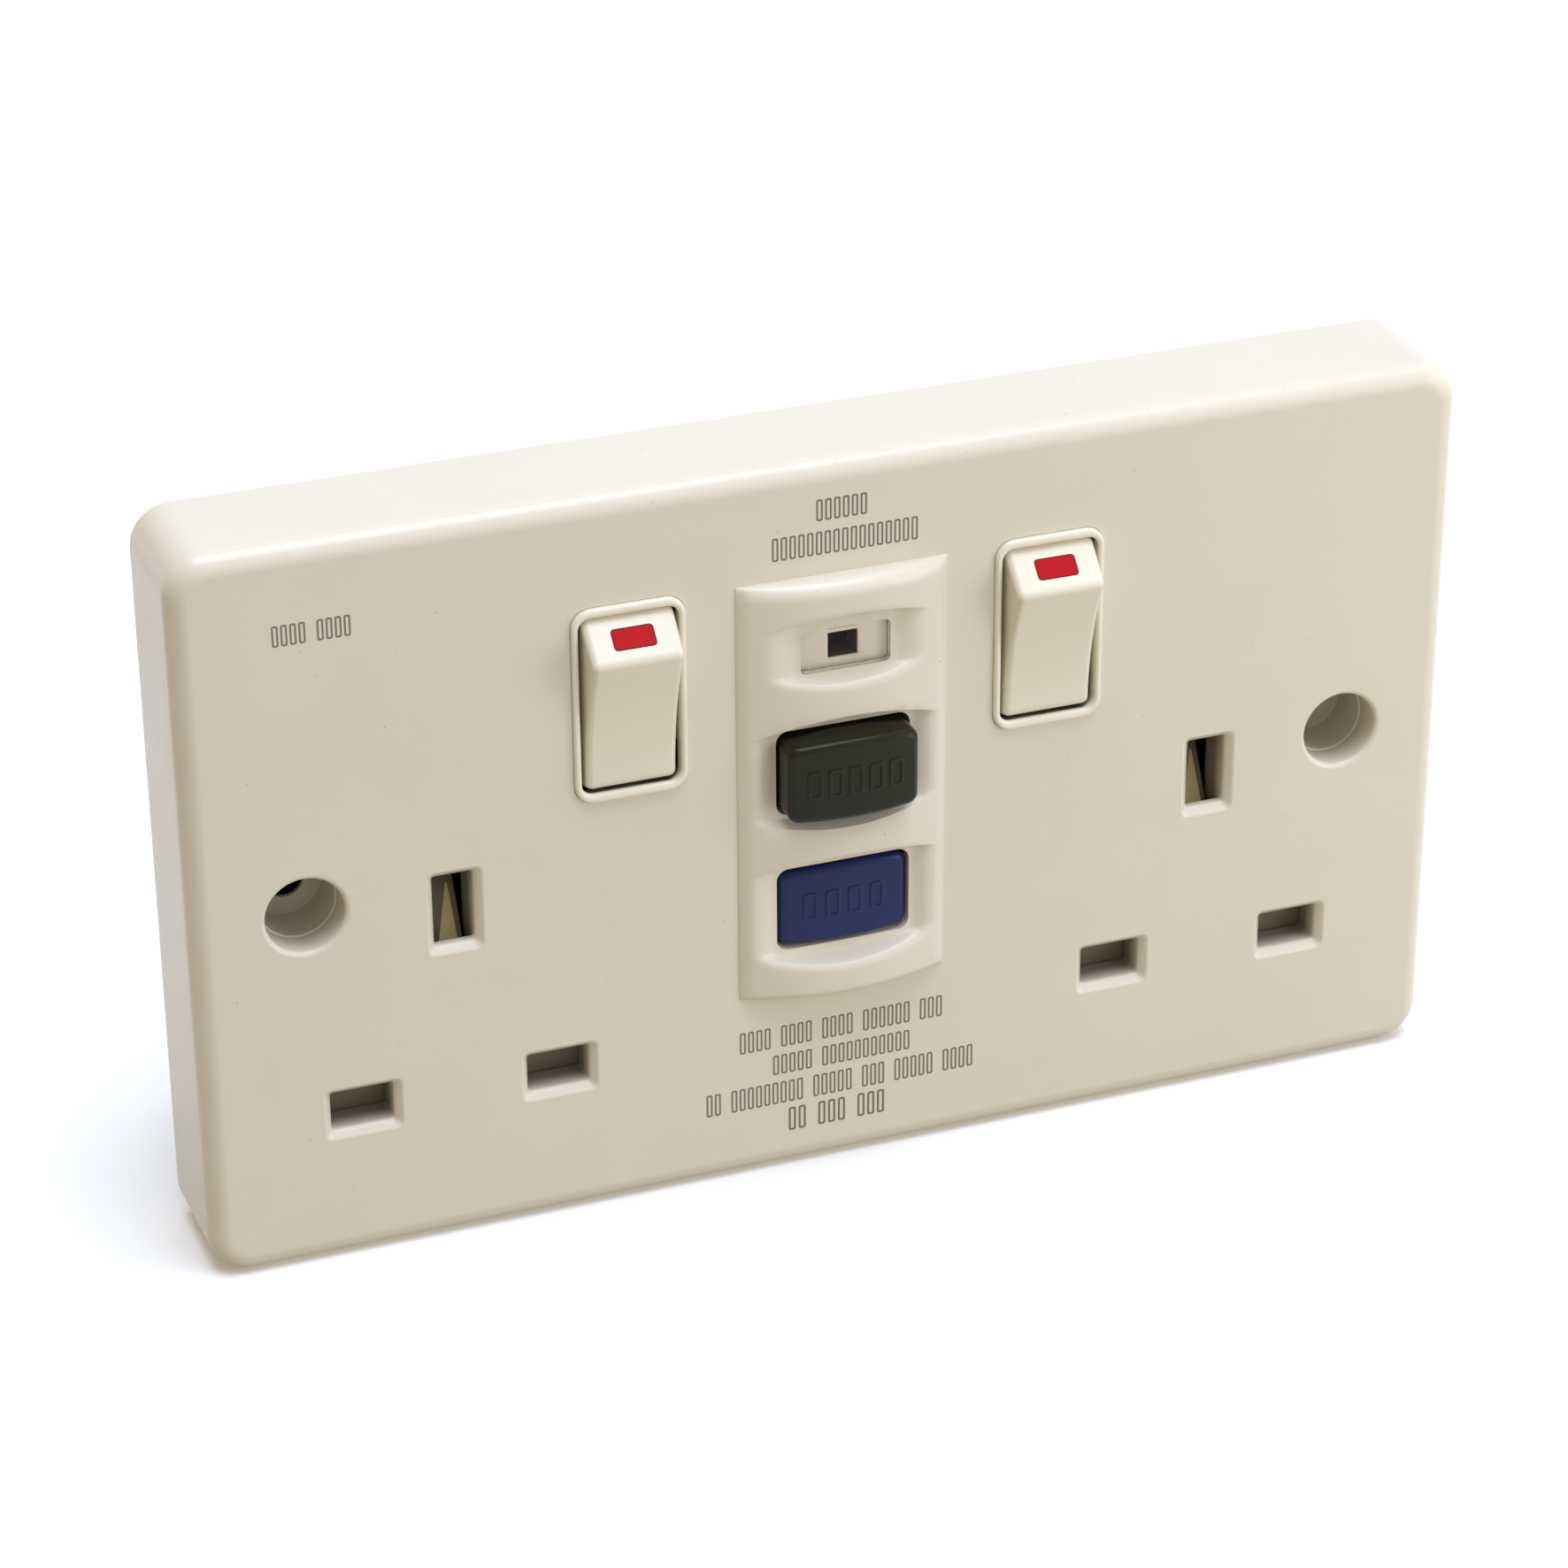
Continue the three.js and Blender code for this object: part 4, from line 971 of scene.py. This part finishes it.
def rocker_outline():
    """The rocker's side profile in its middle position, as (inward, up) from the pivot."""
    face = []
    for step in range(17):
        up = RIDGE_UP - RIDGE_UP * 2 * step / 16
        face.append((-(RIDGE_OUT - DISH * (1 - (up / RIDGE_UP) ** 2)), up))
    end = []
    for step in range(8):
        angle = math.radians(SKIRT_FROM + 4 * step)
        end.append((-SKIRT_R * math.cos(angle), SKIRT_R * math.sin(angle)))
    lower = [(inward, -up) for inward, up in end]
    return face + lower + end[::-1]


def rocker(side):
    pivot = joint_place(f"rocker_{side}_pivot")
    outline = [(pivot.y + inward, pivot.z + up) for inward, up in rocker_outline()]
    half = ROCKER_W / 2
    body = prism(outline, "x", pivot.x - half, pivot.x + half, f"rocker_cap_{side}")
    lean = 0.02
    for vertex in body.data.vertices:
        out = max(0.0, (pivot.y - 2) - vertex.co.y / MM)
        side_sign = 1 if vertex.co.x / MM > pivot.x else -1
        vertex.co.x -= side_sign * lean * out * MM
    rounded(body, ROCKER_EDGE_R, 4)
    for end in (-1, 1):
        hollow = rounded_rect(pivot.x, pivot.z + end * 6.2, ROCKER_W - 2.4, 6.4, 0.5, 3)
        combined(body, prism(hollow, "y", pivot.y - 5.5, pivot.y + 6, "hollow"), "DIFFERENCE")
    stub = prism(circle(pivot.y, pivot.z, 1.1, 24), "x", pivot.x - 6.3, pivot.x + 6.3, "stub")
    combined(body, stub, "UNION")
    tube = prism(circle(pivot.x, pivot.z, 2.4, 28), "y", pivot.y, pivot.y + 4.6, "tube")
    combined(body, tube, "UNION")
    bore = prism(circle(pivot.x, pivot.z, 1.6, 24), "y", pivot.y - 3.5, pivot.y + 6, "bore")
    combined(body, bore, "DIFFERENCE")
    return turned_about_x(body, pivot, ROCKER_TILT)


def rocker_mark(side):
    """The red mark printed on the rocker's upper slope, with a darker line round it."""
    pivot = joint_place(f"rocker_{side}_pivot")
    low = Vector((0, -RIDGE_OUT, RIDGE_UP))
    angle = math.radians(SKIRT_FROM)
    high = Vector((0, -SKIRT_R * math.cos(angle), SKIRT_R * math.sin(angle)))
    along = (high - low).normalized()
    out = Vector((0, -along.z, along.y))
    centre = Vector(pivot) + low + along * 2.9
    pieces = []
    for name, w, h, r, lift, material in (
        ("line", 4.75, 2.5, 0.42, 0.012, RED_LINE),
        ("mark", 4.5, 2.25, 0.3, 0.03, RED_INK),
    ):
        outline = rounded_rect(0, 0, w, h, r, 4)
        loops = []
        for depth, shrink in ((-0.06, 0), (lift - 0.008, 0), (lift, 0.015)):
            loops.append([
                tuple(centre + Vector((a * (1 - shrink), 0, 0)) + along * (b * (1 - shrink)) + out * depth)
                for a, b in outline
            ])
        mark = lofted(f"rocker_{name}_{side}", loops, (0, -1))
        turned_about_x(mark, pivot, ROCKER_TILT)
        pieces.append((smooth(mark), material))
    return pieces


for side in SIDES:
    place(smooth(ring(side)), "housing", BEZEL, "switch_plastic", f"switch_frame_{side}")
    place(smooth(rocker(side), 35), f"rocker_{side}", ROCKER, "switch_plastic", f"rocker_{side}")
    for mark, material in rocker_mark(side):
        place(mark, f"rocker_{side}", material, "switch_plastic")


# ---- buttons ------------------------------------------------------------------------------
def bowed_rect(x, z, w, h, r, bow, steps=5, run=8):
    """A rounded rectangle whose top and bottom edges bow outward."""
    points = rounded_rect(0, 0, w, h, r, steps)
    full = []
    for index, (px, pz) in enumerate(points):
        full.append((px, pz))
        nx, nz = points[(index + 1) % len(points)]
        if abs(nx - px) > w / 3 or abs(nz - pz) > h / 3:
            full.extend((px + (nx - px) * i / run, pz + (nz - pz) * i / run) for i in range(1, run))
    bowed = []
    for px, pz in full:
        lift = bow * (1 - (2 * px / w) ** 2) * math.tanh(4 * pz / h)
        bowed.append((x + px, z + pz + lift))
    return bowed


STEM_R = {"reset_button": 2.5, "test_button": 2.0}


def button(name, node):
    """A button cap with a cylindrically crowned face, flange and stem behind."""
    low, high = box_mm(node)
    x, z = (low.x + high.x) / 2, (low.z + high.z) / 2
    out = FRONT - low.y
    crown, bow, fillet = 0.55, 0.35, 0.8
    w, h = BUTTON_W, BUTTON_H - 2 * bow

    def face(px):
        return out - crown * (2 * (px - x) / w) ** 2

    loops = []
    flange_y = CORE_Y + FLANGE_BACK
    flange = rounded_rect(x, z, high.x - low.x, high.z - low.z, 0.8, 5)
    for share in (0.0, 0.12, 0.3, 0.5, 0.7, 0.88, 1.0):
        angle = share * math.pi / 2
        inset = fillet * (1 - math.cos(angle))
        drop = fillet * (1 - math.sin(angle))
        outline = bowed_rect(x, z, w - 2 * inset, h - 2 * inset, BUTTON_R - 0.6 * inset, bow)
        loops.append([(px, FRONT - face(px) + drop, pz) for px, pz in outline])
    for share in (0.85, 0.7, 0.55, 0.4, 0.25, 0.1):
        inner_w, inner_h = (w - 2 * fillet) * share, (h - 2 * fillet) * share
        outline = bowed_rect(x, z, inner_w, inner_h, (BUTTON_R - 0.6 * fillet) * share, bow * share)
        loops.append([(px, FRONT - face(px), pz) for px, pz in outline])
    base = [(px, flange_y, pz) for px, _, pz in loops[0]]
    cap = lofted(name, [base, *loops], (-1, 0))
    plate_piece = prism(flange, "y", flange_y, flange_y + 1.2, "flange")
    rounded(plate_piece, 0.15)
    combined(cap, plate_piece, "UNION")
    stem_r = STEM_R[node]
    stem = prism(circle(x, z, stem_r, 32), "y", flange_y + 0.5, high.y, "stem")
    return combined(cap, rounded(stem, 0.3), "UNION"), face


def embossed(cap, face, z, count, w, h, pitch):
    """Raises a row of blank outlined boxes on a button's face."""
    stroke, rise, root = 0.42, 0.12, 0.2
    profile = ((0.0, 0.6), (0.12, 0.95), (0.3, 1.0), (0.7, 1.0), (0.88, 0.95), (1.0, 0.6))
    for index in range(count):
        x = (index - (count - 1) / 2) * pitch
        outer = rounded_rect(x, z, w, h, 0.35, 3)
        inner = rounded_rect(x, z, w - 2 * stroke, h - 2 * stroke, 0.15, 3)
        loops = [[(px, FRONT - face(px) + root, pz) for px, pz in outer]]
        for share, lift in profile:
            loop = []
            for (ax, az), (bx, bz) in zip(outer, inner):
                px = ax + (bx - ax) * share
                loop.append((px, FRONT - face(px) - rise * lift, az + (bz - az) * share))
            loops.append(loop)
        loops.append([(px, FRONT - face(px) + root, pz) for px, pz in inner])
        loops.append(loops[0])
        combined(cap, lofted("box", loops), "UNION")
    return cap


reset_cap, reset_face = button("reset_cap", "reset_button")
embossed(reset_cap, reset_face, RESET.z, 5, 1.75, 3.4, 2.35)
place(smooth(reset_cap, 38), "reset_button", GREEN, "green_button", "reset_button")
test_cap, test_face = button("test_cap", "test_button")
embossed(test_cap, test_face, TEST.z, 4, 1.75, 3.4, 2.6)
place(smooth(test_cap, 38), "test_button", BLUE, "blue_button", "test_button")


# ---- indicator window ---------------------------------------------------------------------
def lens():
    """The clear window, with a raised middle inside a low border."""
    border = 0.5
    loops = []
    back, top = FRONT - WINDOW_HIGH.y, FRONT - WINDOW_LOW.y
    profile = (
        (0.0, back),
        (0.0, top - 0.28),
        (0.06, top - 0.2),
        (0.16, top - 0.17),
        (border - 0.06, top - 0.17),
        (border, top - 0.15),
        (border + 0.03, top - 0.05),
        (border + 0.1, top),
    )
    for inset, height in profile:
        w, h = WINDOW_W - 2 * inset, WINDOW_H - 2 * inset
        loops.append(at_height(at_window(w, h, max(0.15, WINDOW_R - inset)), height))
    return lofted("window_lens", loops, (0, -1))


place(smooth(lens()), "housing", LENS, "clear_plastic", "indicator_window")


APERTURE = (3.4, 2.9)


def surround():
    """The pale insert behind the window, with a flange behind the plate and a square aperture."""
    low, high = box_mm("indicator_surround")
    block = at_window(WINDOW_W, WINDOW_H, WINDOW_R)
    flange = at_window(high.x - low.x, high.z - low.z, 0.8)
    hole = at_window(*APERTURE, 0.12)
    lip = at_window(APERTURE[0] + 0.2, APERTURE[1] + 0.2, 0.2)
    flange_y = CORE_Y + FLANGE_BACK
    surface = Surface()
    surface.fill(block, [lip], low.y)
    surface.loft([at_y(lip, low.y), at_y(hole, low.y + 0.1), at_y(hole, high.y)])
    surface.loft([at_y(block, low.y), at_y(block, flange_y)])
    surface.fill(flange, [block], flange_y)
    surface.loft([at_y(flange, flange_y), at_y(flange, high.y)])
    surface.fill(flange, [hole], high.y)
    return surface.piece("window_surround")


def aperture_shade_sleeve():
    """A thin dark sleeve in the aperture: painted shade on the aperture's walls."""
    low, high = box_mm("indicator_surround")
    wide, tall = APERTURE
    outer = at_window(wide - 0.02, tall - 0.02, 0.1)
    inner = at_window(wide - 0.16, tall - 0.16, 0.06)
    front, back = low.y + 0.22, high.y - 0.05
    rim = at_y(outer, front)
    loops = [rim, at_y(outer, back), at_y(inner, back), at_y(inner, front), rim]
    return lofted("aperture_shade_sleeve", loops)


place(smooth(surround()), "housing", SURROUND, "plate_plastic", "indicator_surround")
place(smooth(aperture_shade_sleeve()), "housing", APERTURE_SHADE, "dark_plastic")


# ---- painted light on the shutters --------------------------------------------------------
def shutter_painted_light(side):
    """A paler patch on the shutter's ramp, seen in the earth hole: painted light where light falls on the
    ramp.
    """
    ramp = middle(f"shutter_{side}").x
    front = box_mm(f"shutter_{side}")[0].y
    bend_z, slope = -9.0, 0.524  # above the bend the ramp falls back
    low_z = -10.6
    outline = ((-1.1, low_z), (1.26, low_z), (1.26, bend_z), (1.1, -3.0), (0.9, -2.8), (-1.1, bend_z))
    loops = []
    for lift in (0.1, -0.3):
        loops.append([
            (ramp + x, front + max(0.0, z - bend_z) * slope - lift, z) for x, z in outline
        ])
    surface = Surface()
    surface.loft(loops)
    for loop in loops:
        surface.cap([loop[0], loop[1], loop[2], loop[5]])
        surface.cap(loop[2:])
    return surface.piece(f"shutter_painted_light_{side}")


for side in SIDES:
    place(shutter_painted_light(side), f"shutter_{side}", SHUTTER_LIGHT_PATCH, "shutter_plastic")


# ---- printed lines ------------------------------------------------------------------------
def printed_line(surface, left, right, bottom, top, words):
    """A line of words as blank boxes, one for each character, thin on the front plane."""
    slots = sum(words) + len(words) - 1
    pitch = (right - left) / slots
    stroke = min(0.24, pitch * 0.2)
    thick = 0.02
    place_in_line = 0
    for length in words:
        for _ in range(length):
            x = left + (place_in_line + 0.5) * pitch
            z = (bottom + top) / 2
            w, h = pitch * 0.72, top - bottom
            outer = rounded_rect(x, z, w, h, stroke, 2)
            hole = rounded_rect(x, z, w - 2 * stroke, h - 2 * stroke, stroke * 0.4, 2)
            front, back = at_height(outer, thick), at_height(outer, -thick)
            hole_front, hole_back = at_height(hole, thick), at_height(hole, -thick)
            surface.loft([front, back, hole_back, hole_front, front])
            place_in_line += 1
        place_in_line += 1


PRINTED = (
    (-62.3, -53.7, 31.8, 34.2, (4, 4)),
    (-3.0, 3.0, 36.2, 38.7, (6,)),
    (-8.0, 8.8, 32.3, 35.0, (17,)),
    (-12.2, 12.2, -27.2, -24.5, (4, 4, 4, 6, 3)),
    (-8.3, 8.3, -30.7, -28.2, (5, 11)),
    (-16.2, 16.0, -34.5, -31.7, (2, 9, 5, 3, 5, 4)),
    (-6.5, 5.3, -38.3, -35.3, (2, 3, 3)),
)
print_surface = Surface()
for line in PRINTED:
    printed_line(print_surface, *line)
place(print_surface.piece("printed_boxes"), "housing", PRINT, "dark_plastic")


# ---- springs and winding ------------------------------------------------------------------
def helix(name, start, axis, length, radius, wire, turns, sides=8):
    """A round wire coil from start along an axis; start is the middle of its first end."""
    axis = Vector(axis)
    across = axis.orthogonal().normalized()
    up = axis.cross(across)
    steps = int(turns * 20)
    loops = []
    for step in range(steps + 1):
        turn = 2 * math.pi * turns * step / steps
        radial = across * math.cos(turn) + up * math.sin(turn)
        centre = Vector(start) + radial * radius + axis * (wire / 2 + (length - wire) * step / steps)
        ring_points = []
        for side_index in range(sides):
            angle = 2 * math.pi * side_index / sides
            offset = radial * math.cos(angle) + axis * math.sin(angle)
            ring_points.append(tuple(centre + offset * (wire / 2)))
        loops.append(ring_points)
    return lofted(name, loops, (0, -1))


def spring(node, body, along, wire, turns, joint=None, anchor_high=True):
    """A wire spring in the place of a CAD spring, along X, Y or Z."""
    low, high = box_mm(node)
    index = "xyz".index(along)
    axis = Vector((0, 0, 0))
    axis[index] = 1
    start = (low + high) / 2
    start[index] = low[index]
    length = high[index] - low[index]
    across = [high[i] - low[i] for i in range(3) if i != index]
    coil = helix(f"{node}_coil", start, axis, length, (max(across) - wire) / 2, wire, turns)
    coil.data.shade_smooth()
    place(coil, body, STEEL, "steel", node)
    if joint:
        anchor = start.copy()
        anchor[index] = high[index] if anchor_high else low[index]
        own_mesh(coil)


# each spring's wire, turns and the joint of the button, plunger or shutter that it pushes
spring("reset_spring", "housing", "y", 0.45, 3, "reset_button_slide")
spring("test_spring", "housing", "y", 0.45, 3, "test_button_slide")
spring("plunger_spring", "housing", "x", 0.35, 5, "coil_plunger_slide", anchor_high=False)
for side in SIDES:
    joint = f"shutter_{side}_slide"
    spring(f"shutter_spring_{side}", "housing", "z", 0.4, 6, joint, anchor_high=False)


def winding(node, tube_r, wire):
    """The coil's outer layer of wire, as close ridges round the bobbin along X."""
    low, high = box_mm(node)
    middle_y, middle_z = (low.y + high.y) / 2, (low.z + high.z) / 2
    outer = (high.z - low.z) / 2
    turns = round((high.x - low.x) / wire)
    pitch = (high.x - low.x) / turns
    loops = []

    def turn_loop(x, r):
        loops.append([(x, middle_y + a, middle_z + b) for a, b in circle(0, 0, r, 40)])

    for index in range(turns):
        for angle in (20, 55, 90, 125, 160):
            x = low.x + pitch * (index + 0.5 - 0.5 * math.cos(math.radians(angle)))
            turn_loop(x, outer - pitch / 2 * (1 - math.sin(math.radians(angle))))
    turn_loop(high.x, tube_r)
    turn_loop(low.x, tube_r)
    loops.append(loops[0])
    return lofted("coil_wire", loops)


COIL_TUBE_R, COIL_WIRE = 2.9, 0.42
coil_wire = winding("coil_winding", COIL_TUBE_R, COIL_WIRE)
place(smooth(coil_wire, 60), "housing", ENAMEL, "copper", "coil_winding")


# ---- carried-over pieces with rounded edges -----------------------------------------------
def softened(node, body, material, slot, width):
    """A copy of a CAD shape with its edges rounded.

    In six nodes the merged flat faces leave stray triangles over openings.
    """
    mesh = frame["nodes"][node].data.copy()
    shape = bmesh.new()
    shape.from_mesh(mesh)
    bmesh.ops.remove_doubles(shape, verts=shape.verts, dist=1e-6)
    straight = math.radians(0.5)
    bmesh.ops.dissolve_limit(shape, angle_limit=straight, verts=shape.verts, edges=shape.edges)
    bmesh.ops.recalc_face_normals(shape, faces=shape.faces)
    shape.to_mesh(mesh)
    shape.free()
    piece = linked(f"{node}_shape", mesh)
    rounded(piece, width)
    return place(smooth(piece), body, material, slot, node)


BODY_OF = {node: body for body, nodes in record["behaviour"]["bodies"].items() for node in nodes}
done = {node for piece in bpy.data.objects for node in piece.get("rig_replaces", [])}
FINISHES = {
    "plate_plastic": PLATE, "switch_plastic": ROCKER, "grey_plastic": GREY, "shutter_plastic": SHUTTER,
    "dark_plastic": DARK, "green_button": GREEN, "blue_button": BLUE, "clear_plastic": LENS,
    "brass": BRASS, "copper": COPPER, "steel": STEEL, "board_laminate": BOARD, "core_ferrite": FERRITE,
    "capacitor_sleeve": SLEEVE,
}
SLOT_OF = {part["node"]: part["material_slot"] for part in record["subparts"]}
FLAG = flag_plastic("flag_plastic", middle("indicator_surround").z - INDICATOR_CHANGE)
METALS = ("brass", "copper", "steel")
METAL_EDGE, PLASTIC_EDGE = 0.1, 0.25
for node, body in BODY_OF.items():
    if node in done:
        continue
    slot = SLOT_OF[node]
    finish = FLAG if node == "indicator_flag" else FINISHES[slot]
    if node.startswith("rocker_spring"):  # too thin to round, so it keeps its CAD mesh
        frame["nodes"][node].data.materials.clear()
        frame["nodes"][node].data.materials.append(finish)
    else:
        softened(node, body, finish, slot, METAL_EDGE if slot in METALS else PLASTIC_EDGE)


# ---- camera, floor and light --------------------------------------------------------------
def camera():
    """Looks at the object from the left and above."""
    azimuth, elevation = math.radians(-20.2538), math.radians(27.7219)
    roll = math.radians(-0.3446)
    target = Vector((-1.133, 0, -2.688)) * MM
    distance = 531.583 * MM
    back = Vector((
        math.sin(azimuth) * math.cos(elevation),
        -math.cos(azimuth) * math.cos(elevation),
        math.sin(elevation),
    ))
    right = (-back).cross(Vector((0, 0, 1))).normalized()
    up = right.cross(-back)
    rolled_right = right * math.cos(roll) + up * math.sin(roll)
    rolled_up = up * math.cos(roll) - right * math.sin(roll)
    turn = Matrix((rolled_right, rolled_up, back)).transposed().to_4x4()
    data = bpy.data.cameras.new("camera")
    data.lens = 109.165
    data.sensor_width = 36
    data.clip_start = 0.01
    data.clip_end = 50
    made = linked("camera", data)
    made.matrix_world = Matrix.Translation(target + back * distance) @ turn
    bpy.context.scene.camera = made


def aimed(name, data, direction):
    """Puts a light in the scene, pointing along a direction."""
    made = linked(name, data)
    made.rotation_euler = Vector(direction).to_track_quat("-Z", "Y").to_euler()
    return made


def area_light(name, place_m, aim_m, size, power):
    data = bpy.data.lights.new(name, "AREA")
    data.shape = "RECTANGLE"
    data.size, data.size_y = size
    data.energy = power
    aimed(name, data, Vector(aim_m) - Vector(place_m)).location = place_m


def floor():
    surface = Surface()
    z = cad_bounds[0][2] / MM
    reach = 6000
    outline = rounded_rect(0, 0, 2 * reach, 2 * reach, 500, 8)
    surface.cap([(x, y, z) for x, y in outline])
    made = surface.piece("studio_floor")
    finish = Finish("studio_paper")
    fibres = finish.noise(30, 3.0)
    shade = finish.ramp(fibres, [(0.3, linear(250, 250, 249)), (0.7, linear(254, 254, 253))])
    finish.feed("Base Color", shade)
    finish.feed("Roughness", 0.9)
    finish.feed("Specular IOR Level", 0.1)
    made.data.materials.append(finish.material)
    made.visible_diffuse = False


def studio_world(above, below, left, right):
    """Soft light from all round, coloured by height and tinted from left to right."""
    world = bpy.data.worlds.new("studio")
    world.use_nodes = True
    nodes, links = world.node_tree.nodes, world.node_tree.links
    direction = nodes.new("ShaderNodeSeparateXYZ")
    links.new(nodes.new("ShaderNodeTexCoord").outputs["Generated"], direction.inputs["Vector"])

    def blended(axis, reach, first, second):
        share = nodes.new("ShaderNodeMapRange")
        share.inputs["From Min"].default_value = -reach
        share.inputs["From Max"].default_value = reach
        links.new(direction.outputs[axis], share.inputs["Value"])
        blend = nodes.new("ShaderNodeMix")
        blend.data_type = "RGBA"
        blend.inputs[6].default_value = (*first, 1.0)
        blend.inputs[7].default_value = (*second, 1.0)
        links.new(share.outputs["Result"], blend.inputs[0])
        return blend.outputs[2]

    product = nodes.new("ShaderNodeVectorMath")
    product.operation = "MULTIPLY"
    links.new(blended("Z", 0.2, below, above), product.inputs[0])
    links.new(blended("X", 1.0, left, right), product.inputs[1])
    links.new(product.outputs["Vector"], nodes["Background"].inputs["Color"])
    bpy.context.scene.world = world


def sun(strength, toward, spread):
    """A very wide soft light from one direction."""
    data = bpy.data.lights.new("overhead", "SUN")
    data.energy = strength
    data.angle = math.radians(spread)
    data.color = (0.9, 1.01, 1.22)
    aimed("overhead", data, toward)


camera()
floor()
studio_world((0.67, 0.69, 0.71), (0.56, 0.5, 0.43), (0.66, 0.53, 0.33), (1.38, 1.46, 1.6))
sun(2.0, (-0.04, 0.12, -0.97), 40)
area_light("side_softbox", (0.26, -0.22, 0.05), (0.03, 0, 0), (0.15, 0.25), 0.3)
bpy.context.scene.view_settings.view_transform = "Standard"
bpy.context.scene.view_settings.look = "None"
